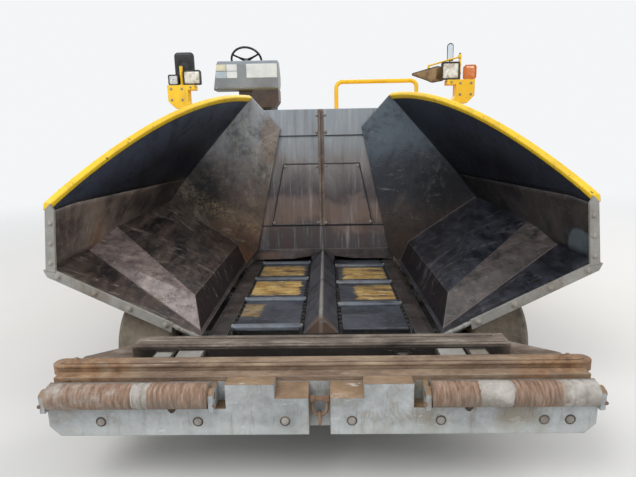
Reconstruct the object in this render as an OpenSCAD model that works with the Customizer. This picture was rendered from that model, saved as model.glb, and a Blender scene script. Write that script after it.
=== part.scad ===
// Wheeled asphalt paver: push beam and receiving hopper in front, engine and operator's deck in
// the middle, augers and an extending screed behind. Millimetres, ground at Z = 0, +Z up.
// The front faces -Y, and +X is the machine's left-hand side, called l in the names.

/* [Length, from front to back] */
// Push rollers, in front of the beam's face
roller_proud = 50; // [40:1:60]
// Front deck, from the beam's face to the hopper's front edge
deck_len = 665; // [640:5:720]
// Hopper, from its front edge to the wings' rear walls
hopper_len = 1605; // [1560:5:1700]
// Engine bay
bay_len = 1180; // [1100:10:1300]
// Operator's deck
platform_len = 1750; // [1700:10:1900]
// From the end of the deck to the auger's shaft
auger_back = 150; // [140:5:200]
// Main screed
screed_depth = 450; // [420:5:520]
// Each screed extension
ext_depth = 350; // [300:5:360]
// Walkway, from the main screed's back to its rear edge
walkway_reach = 498; // [450:2:540]

/* [Frame] */
// Inner faces of the frame's side plates, from the middle
frame_in = 600; // [580:5:620]
// Frame's side plates
frame_t = 25; // [20:1:30]
// Bottom of the frame
frame_bottom = 250; // [240:5:260]
// Radius of the lashing holes in the side plates
tie_r = 25; // [20:0.5:30]
// Top of the frame under the hopper
frame_low = 440; // [430:1:440]
// Top of the frame behind the rear axle
frame_mid = 740; // [720:5:760]
// Top of the frame under the engine bay
frame_top = 950; // [930:5:970]
// Engine bay's half width
bay_half = 1150; // [1100:5:1150]
// Top of the engine bay
bay_top = 1640; // [1600:5:1660]
// Sheet metal of the engine bay
sheet_t = 20; // [10:1:30]
// Top of the operator's deck
deck_top = 1500; // [1480:5:1520]
// Operator's deck, past the engine bay on each side
platform_over = 50; // [40:5:60]

/* [Hopper] */
// Top of the conveyor pans
floor_z = 457; // [450:1:462]
// Ridge of the centre divider
ridge_z = 555; // [530:1:580]
// Half width of the centre divider at its foot
divider_half = 100; // [90:1:100]
// Inner edge of each conveyor, from the middle
conv_in = 104; // [102:1:110]
// Outer edge of each conveyor, from the middle
conv_out = 526; // [500:1:526]
// Outer edge of the fixed guide plates
guide_out = 640; // [632:1:645]
// Radius of the conveyor's chain round its sprockets
chain_r = 100; // [90:1:100]
// Conveyor flights, from one to the next
flight_pitch = 480; // [400:10:600]
// Top edge of the bulkhead
bulkhead_top = 1770; // [1700:5:1800]
// Half width of the bulkhead
bulkhead_half = 750; // [700:5:800]

/* [Wings] */
// Plate of the hopper wings
wing_t = 12; // [8:1:14]
// Wing hinge axis, from the middle
hinge_x = 700; // [690:1:710]
// Wing hinge axis above ground
hinge_z = 400; // [395:1:405]
// Wings at rest, raised from fully open
wing_rest = 13; // [0:1:20]
// Slope of the wing's floor when fully open
floor_slope = 13.7; // [12:0.1:16]
// Outer edge of the wing's floor, from the hinge
wing_reach = 863; // [840:1:880]
// Bulge of the curved top edge over a straight one
edge_rise = 168; // [120:2:200]
// Inner edge of the wheel house's foot, from the hinge
house_in = 2; // [0:1:12]

/* [Running gear] */
// Radius of the rear tyre
rear_r = 640; // [620:1:650]
// Inner face of the rear tyre, from the middle
rear_in = 690; // [680:1:700]
// Width of the rear tyre
rear_w = 385; // [360:1:390]
// Height of the rear tyre's lugs
tread_lug = 26; // [15:1:30]
// Lugs round each shoulder of the rear tyre
tread_count = 20; // [16:1:24]
// From the back of the engine bay to the rear axle
rear_axle_back = 500; // [480:5:560]
// Radius of the front solid tyre
front_r = 275; // [260:1:280]
// Inner face of the front tyre, from the middle
front_in = 885; // [880:1:900]
// Width of the front tyre
front_w = 340; // [300:1:345]
// From the hopper's front edge to the first front axle
axle_1_back = 410; // [400:5:420]
// From the first front axle to the second
axle_gap = 680; // [660:5:700]
// Kingpins, from the middle
kingpin_x = 835; // [830:1:838]

/* [Push beam] */
// Half width of the push beam
beam_half = 1170; // [1140:5:1200]
// Bottom of the push beam
beam_bottom = 285; // [270:5:300]
// Top of the plate below the rollers
beam_plate_top = 410; // [400:1:410]
// Top of the beam behind the rollers
beam_top = 500; // [490:1:505]
// Radius of the push rollers
roller_r = 54; // [50:1:56]
// Push rollers' axis above ground
roller_z = 470; // [468:1:475]
// Inner end of each push roller, from the middle
roller_in = 473; // [460:1:500]
// Outer end of each push roller, in from the beam's end
roller_end = 12; // [12:1:40]

/* [Augers and screed] */
// Radius of the auger
auger_r = 180; // [160:1:190]
// Auger shaft above ground
auger_z = 320; // [300:5:330]
// Outer end of each auger, from the middle
auger_out = 1040; // [1000:5:1045]
// Pitch of the auger's flight
auger_pitch = 300; // [240:10:360]
// Half width of the main screed
screed_half = 1220; // [1210:1:1240]
// Top of the main screed
screed_top = 420; // [400:5:430]
// Top of the extensions' boxes
ext_top = 330; // [300:5:340]
// Guide tubes of the extensions, above ground
guide_z = 430; // [425:1:440]
// Inner face of the tow arms, from the middle
arm_in = 1110; // [1110:1:1120]
// Thickness of the tow arms
arm_t = 80; // [60:1:80]
// Tow point above ground
tow_z = 600; // [580:5:620]
// From the front of the engine bay to the tow point
tow_back = 330; // [300:5:380]

/* [Operator's place] */
// Middle of the seat, in from the engine bay's right-hand side
driver_in = 320; // [300:5:350]
// Top of the seat's back
seat_top = 2400; // [2350:5:2400]
// Radius of the steering wheel
steer_r = 180; // [160:1:200]
// Steering wheel, from lying flat
steer_tilt = 46; // [30:1:60]
// Top of the console
console_top = 2350; // [2300:5:2360]
// Width of the console
console_w = 695; // [600:5:720]
// From the back of the engine bay to the middle of the console
console_back = 160; // [155:5:200]
// From the back of the engine bay to the middle of the seat
seat_back = 990; // [940:5:1100]
// From the back of the engine bay to the lift cylinders
lift_back = 1250; // [1200:5:1300]
// Middle of the tube rail above the hood
rail_rise = 430; // [400:5:450]

/* [Hidden] */
$fn = 48;
// Running gap between moving pieces
run_gap = 8;
// Gap at pins and shafts
pin_gap = 0.5;
// Gap round the pins in the rods' eyes
eye_gap = 6;
// Gap between pieces that only lie beside each other
seat_gap = 0.3;

// Stations along the machine
gate_t = 10;
bulkhead_t = 12;
clear_back = wing_t + run_gap + gate_t + bulkhead_t + run_gap;
auger_gap = 22;
beam_back = 190;
total_len = roller_proud + deck_len + hopper_len + clear_back + bay_len + platform_len
    + auger_back + auger_r + auger_gap + screed_depth + walkway_reach;
y_face = roller_proud - total_len / 2;
y_hop0 = y_face + deck_len;
y_hop1 = y_hop0 + hopper_len;
y_gate = y_hop1 + wing_t + run_gap;
y_bulk = y_gate + gate_t;
y_bay0 = y_bulk + bulkhead_t + run_gap;
y_bay1 = y_bay0 + bay_len;
y_plat1 = y_bay1 + platform_len;
y_aug = y_plat1 + auger_back;
y_scr0 = y_aug + auger_r + auger_gap;
y_scr1 = y_scr0 + screed_depth;
y_end = y_scr1 + walkway_reach;
y_rear_axle = y_bay1 + rear_axle_back;
y_axle_1 = y_hop0 + axle_1_back;
y_axle_2 = y_axle_1 + axle_gap;
y_tow = y_bay0 + tow_back;
frame_out = frame_in + frame_t;
platform_half = bay_half + platform_over;
driver_x = bay_half - driver_in;
roller_out = beam_half - roller_end;
y_frame0 = y_face + beam_back;

// Helpers
function mix(a, b, u) = a + (b - a) * u;
function unit(v) = v / norm(v);
function turn(p, a) = [p[0] * cos(a) - p[1] * sin(a), p[0] * sin(a) + p[1] * cos(a)];
// Points of an arc round c in the plane
function arc(c, r, from, to, steps = 6) = [for (i = [0:steps]) let (a = mix(from, to, i / steps))
    c + r * [cos(a), sin(a)]];

// Box between two values on each axis
module block(x, y, z) {
    translate([x[0], y[0], z[0]]) cube([x[1] - x[0], y[1] - y[0], z[1] - z[0]]);
}

// Outline in X and Z, drawn out from y0 to y1
module along_y(y0, y1) {
    translate([0, y1, 0]) rotate([90, 0, 0]) linear_extrude(y1 - y0) children();
}

// Outline in Y and Z, drawn out from x0 to x1
module along_x(x0, x1) {
    translate([x0, 0, 0]) rotate([90, 0, 90]) linear_extrude(x1 - x0) children();
}

// Round bar along X
module bar_x(x0, x1, y, z, r) {
    translate([x0, y, z]) rotate([0, 90, 0]) cylinder(h = x1 - x0, r = r);
}

// Round bar along Y
module bar_y(y0, y1, x, z, r) {
    translate([x, y1, z]) rotate([90, 0, 0]) cylinder(h = y1 - y0, r = r);
}

// Round bar along Z
module bar_z(z0, z1, x, y, r) {
    translate([x, y, z0]) cylinder(h = z1 - z0, r = r);
}

// Round bar between two points
module bar_between(a, b, r) {
    d = b - a;
    translate(a) rotate([0, acos(d[2] / norm(d)), atan2(d[1], d[0])]) cylinder(h = norm(d), r = r);
}

// The same on both sides of the machine
module both() {
    children();
    mirror([1, 0, 0]) children();
}

// One side of the machine: +1 is the left-hand side, -1 the right-hand side
module side(s) {
    if (s > 0) children();
    else mirror([1, 0, 0]) children();
}

// Square with rounded corners, in the plane
module soft_square(x, y, r) {
    translate([x[0] + r, y[0]]) square([x[1] - x[0] - 2 * r, y[1] - y[0]]);
    translate([x[0], y[0] + r]) square([x[1] - x[0], y[1] - y[0] - 2 * r]);
    for (px = [x[0] + r, x[1] - r], py = [y[0] + r, y[1] - r]) translate([px, py]) circle(r);
}

// Plate that follows a grid of points, thickened by t towards the grid's normal
module plate_grid(g, t) {
    rows = len(g);
    cols = len(g[0]);
    function at(i, j) = g[max(0, min(rows - 1, i))][max(0, min(cols - 1, j))];
    function away(i, j) = unit(cross(at(i + 1, j) - at(i - 1, j), at(i, j + 1) - at(i, j - 1)));
    function id(k, i, j) = k * rows * cols + i * cols + j;
    function quad(a, b, c, d) = [[a, b, c], [a, c, d]];
    near = [for (i = [0:rows - 1], j = [0:cols - 1]) g[i][j]];
    far = [for (i = [0:rows - 1], j = [0:cols - 1]) g[i][j] + t * away(i, j)];
    inner = [for (i = [0:rows - 2], j = [0:cols - 2])
        each quad(id(0, i, j), id(0, i + 1, j), id(0, i + 1, j + 1), id(0, i, j + 1))];
    outer = [for (i = [0:rows - 2], j = [0:cols - 2])
        each quad(id(1, i, j), id(1, i, j + 1), id(1, i + 1, j + 1), id(1, i + 1, j))];
    ends = [for (j = [0:cols - 2]) each concat(
        quad(id(0, 0, j), id(0, 0, j + 1), id(1, 0, j + 1), id(1, 0, j)),
        quad(id(0, rows - 1, j + 1), id(0, rows - 1, j), id(1, rows - 1, j), id(1, rows - 1, j + 1)))];
    edges = [for (i = [0:rows - 2]) each concat(
        quad(id(0, i + 1, 0), id(0, i, 0), id(1, i, 0), id(1, i + 1, 0)),
        quad(id(0, i, cols - 1), id(0, i + 1, cols - 1), id(1, i + 1, cols - 1), id(1, i, cols - 1)))];
    polyhedron(concat(near, far), concat(inner, outer, ends, edges), convexity = 6);
}

// Frame
tube_y = [260, 860, 1460];
cross_z = [320, 390];
tunnel_roof = 620;
hinge_stations = [70, 800, hopper_len - 130];
lug_w = 50;
hinge_pin_r = 20;
cyl_y = y_hop1 - 120;
cyl_base = [780, 220];
cyl_pin_r = 14;
outrigger_half = 100;
tow_pin_r = 35;
// Notch in the side plates' rear ends, in front of the augers
auger_room = auger_r + run_gap + 2 - auger_back;
auger_over = auger_z + sqrt(pow(auger_r + run_gap + 1, 2) - pow(auger_back, 2));

module main_frame() {
    color("dimgray") {
        both() {
            along_x(frame_in, frame_out) difference() {
                polygon([
                [y_frame0, 300], [y_frame0, frame_low], [y_bulk + bulkhead_t, frame_low],
                [y_bulk + bulkhead_t, frame_top],
                [y_tow + 640, frame_top], [y_tow + 760, frame_mid], [y_plat1, frame_mid],
                [y_plat1, auger_over], [y_plat1 - auger_room, auger_over - auger_room],
                [y_plat1 - auger_room, auger_z + 10], [y_plat1 - 120, frame_bottom],
                [y_frame0 + 60, frame_bottom]]);
                // Holes for lashing the machine down
                translate([y_frame0 + 70, 370]) circle(tie_r);
                translate([y_plat1 - 70, 450]) circle(tie_r);
            }
            // Hinge posts and pins of the wings
            for (s = hinge_stations) {
                for (d = [-lug_w / 2 - 24, lug_w / 2 + 6]) {
                    along_y(y_hop0 + s + d, y_hop0 + s + d + 18) union() {
                        translate([hinge_x, hinge_z]) circle(30);
                        translate([frame_out - 1, hinge_z - 30]) square([hinge_x - frame_out, 60]);
                    }
                }
                bar_y(y_hop0 + s - lug_w / 2 - 30, y_hop0 + s + lug_w / 2 + 30, hinge_x, hinge_z,
                    hinge_pin_r);
            }
            // Feet of the wing cylinders
            for (d = [-44, 32]) {
                along_y(cyl_y + d, cyl_y + d + 12) union() {
                    translate(cyl_base) circle(32);
                    polygon([[frame_out - 1, 255], [frame_out - 1, 400], [cyl_base[0] - 10, 251],
                        [cyl_base[0], 189], [cyl_base[0] - 60, 200]]);
                }
            }
            bar_y(cyl_y - 50, cyl_y + 50, cyl_base[0], cyl_base[1], cyl_pin_r);
            // Pivot of the front bogie
            bar_x(frame_out - 1, bogie_in, (y_axle_1 + y_axle_2) / 2, front_r - 10, 60);
            // Outrigger that carries the tow point
            block([frame_out - 1, arm_in - run_gap], [y_tow - outrigger_half, y_tow + outrigger_half],
                [tow_z - 80, tow_z + 80]);
            bar_x(arm_in - run_gap - 1, arm_in + arm_t + 24, y_tow, tow_z, tow_pin_r);
        }
        // Cross members inside the conveyor loop
        for (y = [y_hop0 + tube_y[0], y_hop0 + tube_y[1], y_hop0 + tube_y[2], y_bay0 + 500,
            y_bay1 + 300, y_bay1 + 1100]) {
            block([-frame_in - 1, frame_in + 1], [y, y + 80], cross_z);
        }
        // Roof of the conveyor tunnel, and the engine's bearers on it
        block([-frame_in - 1, frame_in + 1], [y_bulk + bulkhead_t, y_plat1], [tunnel_roof, tunnel_roof + 10]);
        for (y = [y_bay0 + 250, y_bay0 + 850]) {
            block([-frame_in - 1, frame_in + 1], [y, y + 80], [tunnel_roof + 9, frame_mid]);
        }
        // Rear cross member
        block([-frame_in - 1, frame_in + 1], [y_plat1 - 60, y_plat1], [tunnel_roof, frame_mid]);
    }
}

// Push beam
roller_y = y_face - roller_proud + roller_r;
shaft_r = 15;
bracket_t = 22;
block_in = 46;
block_mid = 190;
block_out = 400;
beam_core = 70;
beam_notch = 633;

module beam_outline() {
    chamfer = 45;
    polygon([[-beam_half, beam_bottom + chamfer], [-beam_half, beam_top], [beam_half, beam_top],
        [beam_half, beam_bottom + chamfer], [beam_half - chamfer, beam_bottom],
        [-beam_half + chamfer, beam_bottom]]);
}

module push_beam() {
    plate_t = 25;
    core = y_face + beam_core;
    color("slategray") difference() {
        union() {
            // Plate below the rollers and the beam behind them
            intersection() {
                along_x(-beam_half, beam_half) polygon([[y_face, beam_bottom], [y_face, beam_plate_top],
                    [core, beam_plate_top], [core, beam_top], [y_frame0, beam_top],
                    [y_frame0, 320], [y_face + plate_t + 60, beam_bottom]]);
                along_y(y_face - 1, y_frame0 + 1) beam_outline();
            }
            both() {
                // Blocks on each side of the coupling gap
                block([block_mid, block_out], [y_face, core + 1], [beam_bottom, beam_top + 20]);
                along_x(block_in, block_mid + 1) polygon([[y_face, beam_bottom], [y_face, 455],
                    [y_face + 12, 462], [core + 1, 498], [core + 1, beam_bottom]]);
                // Brackets of the rollers
                for (x = [roller_in - 5 - bracket_t, roller_out + 5]) {
                    along_x(x, x + bracket_t) difference() {
                        union() {
                            translate([roller_y, roller_z]) circle(32);
                            polygon([[roller_y - 32, beam_plate_top - 1], [roller_y - 32, roller_z],
                                [core + 1, roller_z + 30], [core + 1, beam_plate_top - 1]]);
                        }
                        translate([roller_y, roller_z]) circle(shaft_r + pin_gap);
                    }
                }
            }
        }
        // Coupling gap
        block([-block_in, block_in], [y_face - 1, core - 4], [beam_bottom - 1, beam_top + 30]);
        // Half round notches in the lower plate's top, under the rollers
        both() bar_y(y_face - 1, y_face + 30, beam_notch, beam_plate_top, 17);
    }
}

module push_roller(s) {
    color("sienna") side(s) difference() {
        union() {
            bar_x(roller_in, roller_out, roller_y, roller_z, roller_r);
            bar_x(roller_in - 5 - bracket_t, roller_out + 5 + bracket_t + 12, roller_y, roller_z, shaft_r);
        }
    }
}

module tow_shackle() {
    pin_z = 436;
    ring_r = 30;
    bow_r = 32;
    y = y_face + 34;
    color("dimgray") {
        bar_x(-block_in, block_in, y, pin_z, 10);
        // Bow shackle round the pin
        for (x = [-bow_r, bow_r]) {
            bar_z(pin_z - 46, pin_z, x, y, 8);
            bar_x(x - 11, x + 11, y, pin_z, 16);
        }
        translate([0, y, pin_z - 46]) rotate([90, 0, 0]) rotate([0, 0, 180])
            rotate_extrude(angle = 180) translate([bow_r, 0]) circle(8);
    }
    // Ring in the bow
    color("dimgray") translate([0, y, pin_z - 46 - bow_r - 16]) rotate([0, 90, 0])
        rotate_extrude() translate([ring_r - 6, 0]) circle(7);
}

// Front deck
bar_c = [135, 215];
bar_a = [325, 445];
deck_half = 920;
corner_in = deck_half - 20;

module front_deck() {
    color("saddlebrown") {
        // Tread plate behind the rollers
        block([-beam_half, beam_half], [y_face + beam_core + 2, y_face + bar_c[0] - 5], [beam_top, beam_top + 20]);
        // Front bar with rounded ends
        translate([0, 0, beam_top]) linear_extrude(45)
            soft_square([-beam_half - 48, beam_half + 48], [y_face + bar_c[0], y_face + bar_c[1]], 36);
        // Base plate and the rear bar
        block([-deck_half, deck_half], [y_frame0, y_face + bar_a[1] + 100], [frame_low, frame_low + 12]);
        block([-deck_half, deck_half], [y_face + bar_a[0], y_face + bar_a[1]], [frame_low + 11, beam_top + 50]);
        both() {
            // Corner plates
            translate([0, 0, beam_top - 60]) linear_extrude(45) polygon([[corner_in, y_frame0],
                [beam_half + 35, y_frame0], [beam_half + 5, y_frame0 + 170],
                [corner_in + 60, y_face + bar_a[1] + 60], [corner_in, y_face + bar_a[1] + 60]]);
            // Blocks in the gap between the bars
            for (x = [[560, 690], [705, 800]]) {
                block(x, [y_face + bar_c[1] + 20, y_face + bar_a[0] + 1], [frame_low + 11, beam_top + 25]);
            }
        }
        // Lip in front of the conveyors
        along_x(-frame_out, frame_out) polygon([[y_face + bar_a[1] - 1, frame_low + 11],
            [y_face + bar_a[1] - 1, beam_top - 10], [y_hop0 - 90, floor_z], [y_hop0 - 5, floor_z],
            [y_hop0 - 5, floor_z - 10], [y_hop0 - 90, frame_low]]);
    }
}

// Hopper floor, with its fixed guides and centre divider
pan_t = 10;
chain_w = 20;
pan_in = conv_in + chain_w + 2;
pan_out = conv_out - chain_w - 2;
y_idler = y_hop0 + 85;
y_sprocket = y_plat1 - 160;

module hopper_floor() {
    color("darkslategray") {
        both() {
            block([pan_in, pan_out], [y_idler, y_sprocket], [floor_z - pan_t, floor_z]);
            for (x = [pan_in + 90, pan_out - 100]) {
                block([x, x + 10], [y_hop0 + tube_y[0] - 60, y_sprocket - 200],
                    [cross_z[1], floor_z - pan_t + 1]);
            }
            along_y(y_hop0, y_bulk + bulkhead_t) polygon([[conv_out + 2, frame_low],
                [conv_out + 2, floor_z + 3], [guide_out - 34, floor_z + 3],
                [guide_out, floor_z - 8], [guide_out, frame_low]]);
        }
        // Divider on its web
        difference() {
            along_y(y_hop0 + 15, y_sprocket) polygon([[-divider_half, floor_z],
                [0, ridge_z], [divider_half, floor_z]]);
            along_y(y_hop0 + 40, y_sprocket + 1) polygon([[-divider_half + 14, floor_z - 1],
                [0, ridge_z - 14], [divider_half - 14, floor_z - 1]]);
        }
        block([-6, 6], [y_hop0 + tube_y[0] - 60, y_sprocket - 200], [cross_z[1], ridge_z - 12]);
    }
}

// Conveyors: two strands of chain each, with the flights across them
flight_t = 15;
flight_w = 50;
chain_t = 22;
chain_z = floor_z - chain_r;
flight_shift = [0, 111];

module stadium(r) {
    translate([y_idler, chain_z]) circle(r);
    translate([y_sprocket, chain_z]) circle(r);
    translate([y_idler, chain_z - r]) square([y_sprocket - y_idler, 2 * r]);
}

module flight(y, z) {
    for (x = [conv_in + flight_w / 2, conv_out - flight_w / 2]) bar_z(z, z + flight_t, x, y, flight_w / 2);
    block([conv_in + flight_w / 2, conv_out - flight_w / 2], [y - flight_w / 2, y + flight_w / 2],
        [z, z + flight_t]);
}

module conveyors() {
    color("black") for (s = [0, 1]) mirror([s, 0, 0]) {
        for (x = [conv_in, conv_out - chain_w]) {
            along_x(x, x + chain_w) difference() {
                stadium(chain_r);
                stadium(chain_r - chain_t);
            }
            for (y = [y_idler, y_sprocket]) bar_x(x, x + chain_w, y, chain_z, chain_r - chain_t + 1);
        }
        for (y = [y_hop0 + flight_shift[s] : flight_pitch : y_sprocket - 60]) {
            if (y > y_idler) {
                flight(y, floor_z + seat_gap);
                flight(y, floor_z - 2 * chain_r - flight_t);
            }
        }
        for (y = [y_idler, y_sprocket]) bar_x(conv_in, frame_in, y, chain_z, 25);
    }
}

// Bulkhead between the hopper and the engine
hatch_z = [780, 1310];
skirt_z = ridge_z + 5;

module bulkhead() {
    proud = 6;
    color("silver") {
        along_y(y_bulk, y_bulk + bulkhead_t) difference() {
            translate([-bulkhead_half, frame_low + 1]) square([2 * bulkhead_half, bulkhead_top - frame_low - 1]);
            // Conveyor tunnels, the frame's plates and the room beside them
            translate([conv_in - 2, 0]) square([conv_out - conv_in + 4, skirt_z]);
            translate([-conv_out - 2, 0]) square([conv_out - conv_in + 4, skirt_z]);
            polygon([[-divider_half - 3, 0], [-divider_half - 3, floor_z], [0, ridge_z + 4],
                [divider_half + 3, floor_z], [divider_half + 3, 0]]);
            for (s = [-1, 1]) translate([s * (guide_out / 2 + conv_out / 2) - 60, 0])
                square([120, floor_z + 14]);
        }
        // Hatches and the bar between them
        along_y(y_bulk - proud, y_bulk + 1) {
            for (s = [-1, 1]) polygon([[s * 20, hatch_z[0]], [s * 460, hatch_z[0]],
                [s * 320, hatch_z[1]], [s * 20, hatch_z[1]]]);
        }
        block([-12, 12], [y_bulk - proud - 1, y_bulk + 1], [hatch_z[0], bulkhead_top]);
        // Stiffening flange along the top
        block([-bulkhead_half, bulkhead_half], [y_bulk + bulkhead_t - 1, y_bulk + bulkhead_t + 30],
            [bulkhead_top - 12, bulkhead_top]);
    }
}

// Flow gate in front of a tunnel, which slides up
module flow_gate(s) {
    gate_low = floor_z + flight_t + 6;
    gate_top = skirt_z + 12;
    // From the tip beside the divider's ridge, along the lower edge, to the tip over the guides
    color("lightgray") side(s) along_y(y_gate + 1, y_bulk - seat_gap) polygon([[14, ridge_z - 3],
        [divider_half + 10, mix(ridge_z - 3, gate_low, 0.64)], [conv_in + 170, gate_low + 4],
        [conv_out + 34, gate_low], [guide_out + 10, gate_low + 34], [conv_out + 49, gate_top],
        [14, gate_top]]);
}

// Front bogies, one beam on each side
bogie_in = 670;
bogie_t = 85;
king_r = 18;
fork_r = 38;

module bogies() {
    y_mid = (y_axle_1 + y_axle_2) / 2;
    color("dimgray") both() {
        difference() {
            union() {
                along_x(bogie_in, bogie_in + bogie_t) polygon([[y_axle_1 - 60, front_r - 90],
                    [y_axle_1 - 60, front_r + 70], [y_axle_1 + 60, front_r + 70],
                    [y_mid - 90, front_r + 60], [y_mid + 90, front_r + 60],
                    [y_axle_2 - 60, front_r + 70], [y_axle_2 + 60, front_r + 70],
                    [y_axle_2 + 60, front_r - 90], [y_axle_2 - 60, front_r - 90],
                    [y_mid + 90, front_r - 70], [y_mid - 90, front_r - 70],
                    [y_axle_1 + 60, front_r - 90]]);
                for (y = [y_axle_1, y_axle_2], z = [front_r - 90, front_r + 50]) {
                    block([bogie_in + bogie_t - 1, kingpin_x], [y - fork_r, y + fork_r], [z, z + 20]);
                    bar_z(z, z + 20, kingpin_x, y, fork_r);
                }
            }
            for (y = [y_axle_1, y_axle_2]) {
                bar_z(front_r - 100, front_r + 80, kingpin_x, y, king_r + pin_gap);
            }
        }
    }
}

module knuckle(s, y) {
    color("gray") side(s) {
        bar_z(front_r - 65, front_r + 45, kingpin_x, y, fork_r - 2);
        bar_z(front_r - 96, front_r + 76, kingpin_x, y, king_r);
        bar_x(kingpin_x, front_in + front_w - 40, y, front_r, 28);
        // Steering arm
        block([kingpin_x - 30, kingpin_x - 6], [y, y + 110], [front_r - 20, front_r + 5]);
    }
}

// Front wheel: solid tyre on a dished rim
module front_wheel(s, y) {
    inner = front_in - kingpin_x;
    color("darkkhaki") side(s) translate([front_in, y, front_r]) rotate([0, 90, 0])
        rotate_extrude() polygon([[28 + pin_gap, 100], [28 + pin_gap, 310], [60, 310], [60, 180],
            [150, 165], [155, front_w - 12], [175, front_w - 12], [180, front_w - 2],
            [front_r - 22, front_w], [front_r - 8, front_w - 8], [front_r, front_w - 24],
            [front_r, 24], [front_r - 8, 8], [front_r - 22, 0], [180, 2], [175, 12], [155, 12],
            [150, 145], [60, 150], [60, 100]]);
}

// Rear axle: a final drive on each side
drive_out = 760;
stub_r = 60;

module final_drives() {
    color("dimgray") both() {
        bar_x(frame_out, drive_out, y_rear_axle, rear_r, 200);
        bar_x(drive_out - 1, drive_out + 30, y_rear_axle, rear_r, 150);
        bar_x(drive_out, drive_out + 120, y_rear_axle, rear_r, stub_r);
    }
}

// Tyre lugs: slanted bars on each shoulder, each half a pitch from those of the other one
module tread_lugs(base) {
    lug_len = rear_w / 2 - 12;
    lug_wide = 46;
    slant = 34;
    top = rear_r - 1.5;
    for (k = [0:tread_count - 1], m = [0, 1]) {
        rotate([0, 0, 360 * (k + m / 2) / tread_count]) translate([base - 8, 0, rear_w / 2])
            rotate([0, 90, 0]) mirror([m, 0, 0]) linear_extrude(top - base + 8) polygon([
                [-2, -lug_wide / 2 - slant / 2], [-2, lug_wide / 2 - slant / 2],
                [lug_len, lug_wide / 2 + slant / 2], [lug_len, -lug_wide / 2 + slant / 2]]);
    }
}

module rear_wheel(s) {
    rim = rear_r - 330;
    base = rear_r - tread_lug;
    hand_r = 32;
    color("darkolivegreen") side(s) translate([rear_in, y_rear_axle, rear_r]) rotate([0, 90, 0])
        difference() {
            union() {
                rotate_extrude() polygon([[stub_r + pin_gap, 110], [stub_r + pin_gap, 180],
                    [120, 190], [rim - 14, 150], [rim - 14, rear_w - 30], [rim + 10, rear_w - 22],
                    [rim + 60, rear_w - 4], [rear_r - 130, rear_w], [rear_r - 70, rear_w - 10],
                    [base - 12, rear_w - 22], [base, rear_w - 50], [base, 50], [base - 12, 22],
                    [rear_r - 70, 10], [rear_r - 130, 0], [rim + 60, 4], [rim + 10, 22],
                    [rim - 14, 30], [rim - 14, 130], [120, 170], [120, 110]]);
                tread_lugs(base);
            }
            // Hand holes in the wheel's disc
            for (a = [0:60:300]) rotate([0, 0, a]) translate([(rim + 106) / 2, 0, 90])
                cylinder(h = 120, r = hand_r);
        }
}

// Hopper wing, drawn fully open with its hinge axis on the origin, then raised.
// Sections run from the front (u = 0) to the rear wall (u = 1): foot of the outer wall,
// crease, and the curved top edge
stations = 8;
wing_foot = [wing_reach, wing_reach - 28];
wing_crease = [[900, 590], [644, 672]];
wing_edge = [[900, 628], [205, 1460]];
wing_inner = [-16, 64];
wing_rib_at = [0.27, 0.52, 0.77];

function floor_at(x) = wing_inner[1] + (x - wing_inner[0]) * tan(floor_slope);
function foot_at(u) = let (x = mix(wing_foot[0], wing_foot[1], u)) [x, floor_at(x) - wing_t];
function section(u) = [
    foot_at(u),
    mix(wing_crease[0], wing_crease[1], u),
    mix(wing_edge[0], wing_edge[1], u) + [0, 4 * edge_rise * u * (1 - u)]];
function wing_y(u) = y_hop0 + u * hopper_len;
function place(p, y) = [p[0], y, p[1]];

// Wheel house: foot and top lines as [x, y from the hopper's front], inner end then outer end
house_foot = [[house_in, 46], [wing_reach, 425]];
house_top = [[100, 200], [874, 793]];
house_top_z = [213, 383, 469];

module raised_wing() {
    translate([hinge_x, 0, hinge_z]) rotate([0, -wing_rest, 0]) children();
}

module wing_walls() {
    g = [for (i = [0:stations]) let (u = i / stations) [for (p = section(u)) place(p, wing_y(u))]];
    plate_grid(g, wing_t);
    // Thick rim along the curved edge
    rim = [for (i = [0:stations]) let (u = i / stations, q = section(u), d = unit(q[2] - q[1]))
        [place(q[2] - 36 * d - [4, 0], wing_y(u)), place(q[2] + 4 * d - [4, 0], wing_y(u))]];
    plate_grid(rim, 2.4 * wing_t);
}

module wing_floor() {
    c = cos(floor_slope);
    reach = (wing_reach + 8 - wing_inner[0]) / c;
    house = (house_in + 8 - wing_inner[0]) / c;
    translate([wing_inner[0], 0, wing_inner[1]]) rotate([0, -floor_slope, 0])
        translate([0, 0, -wing_t]) linear_extrude(wing_t) polygon([
            [0, y_hop0 - 5], [reach, y_hop0 - 5], [reach, y_hop0 + house_foot[1][1] + 15],
            [house, y_hop0 + house_foot[0][1] + 15], [house, y_hop1 + 1], [0, y_hop1 + 1]]);
}

// The space that the wheel house takes from the hopper
module house_space() {
    sunk = 3;
    foot = [for (p = house_foot) [p[0], y_hop0 + p[1], floor_at(p[0]) - sunk]];
    back = [for (x = [house_in, wing_foot[1]]) [x, y_hop1, floor_at(x) - sunk]];
    top = [[house_top[0][0], y_hop0 + house_top[0][1], house_top_z[0]],
        [house_top[1][0], y_hop0 + house_top[1][1], house_top_z[1]]];
    top_back = [[house_top[0][0], y_hop1, house_top_z[0]], [760, y_hop1, house_top_z[2]]];
    // Corners: foot at the front, foot at the back, top at the front, top at the back
    polyhedron(concat(foot, back, top, top_back), [[0, 4, 5], [0, 5, 1], [0, 2, 6], [0, 6, 4],
        [4, 6, 7], [4, 7, 5], [1, 5, 7], [1, 7, 3], [0, 1, 3], [0, 3, 2], [2, 3, 7], [2, 7, 6]]);
}

module wheel_house() {
    difference() {
        house_space();
        translate(wing_t * [0.6, 0.66, -0.9]) house_space();
    }
}

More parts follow.
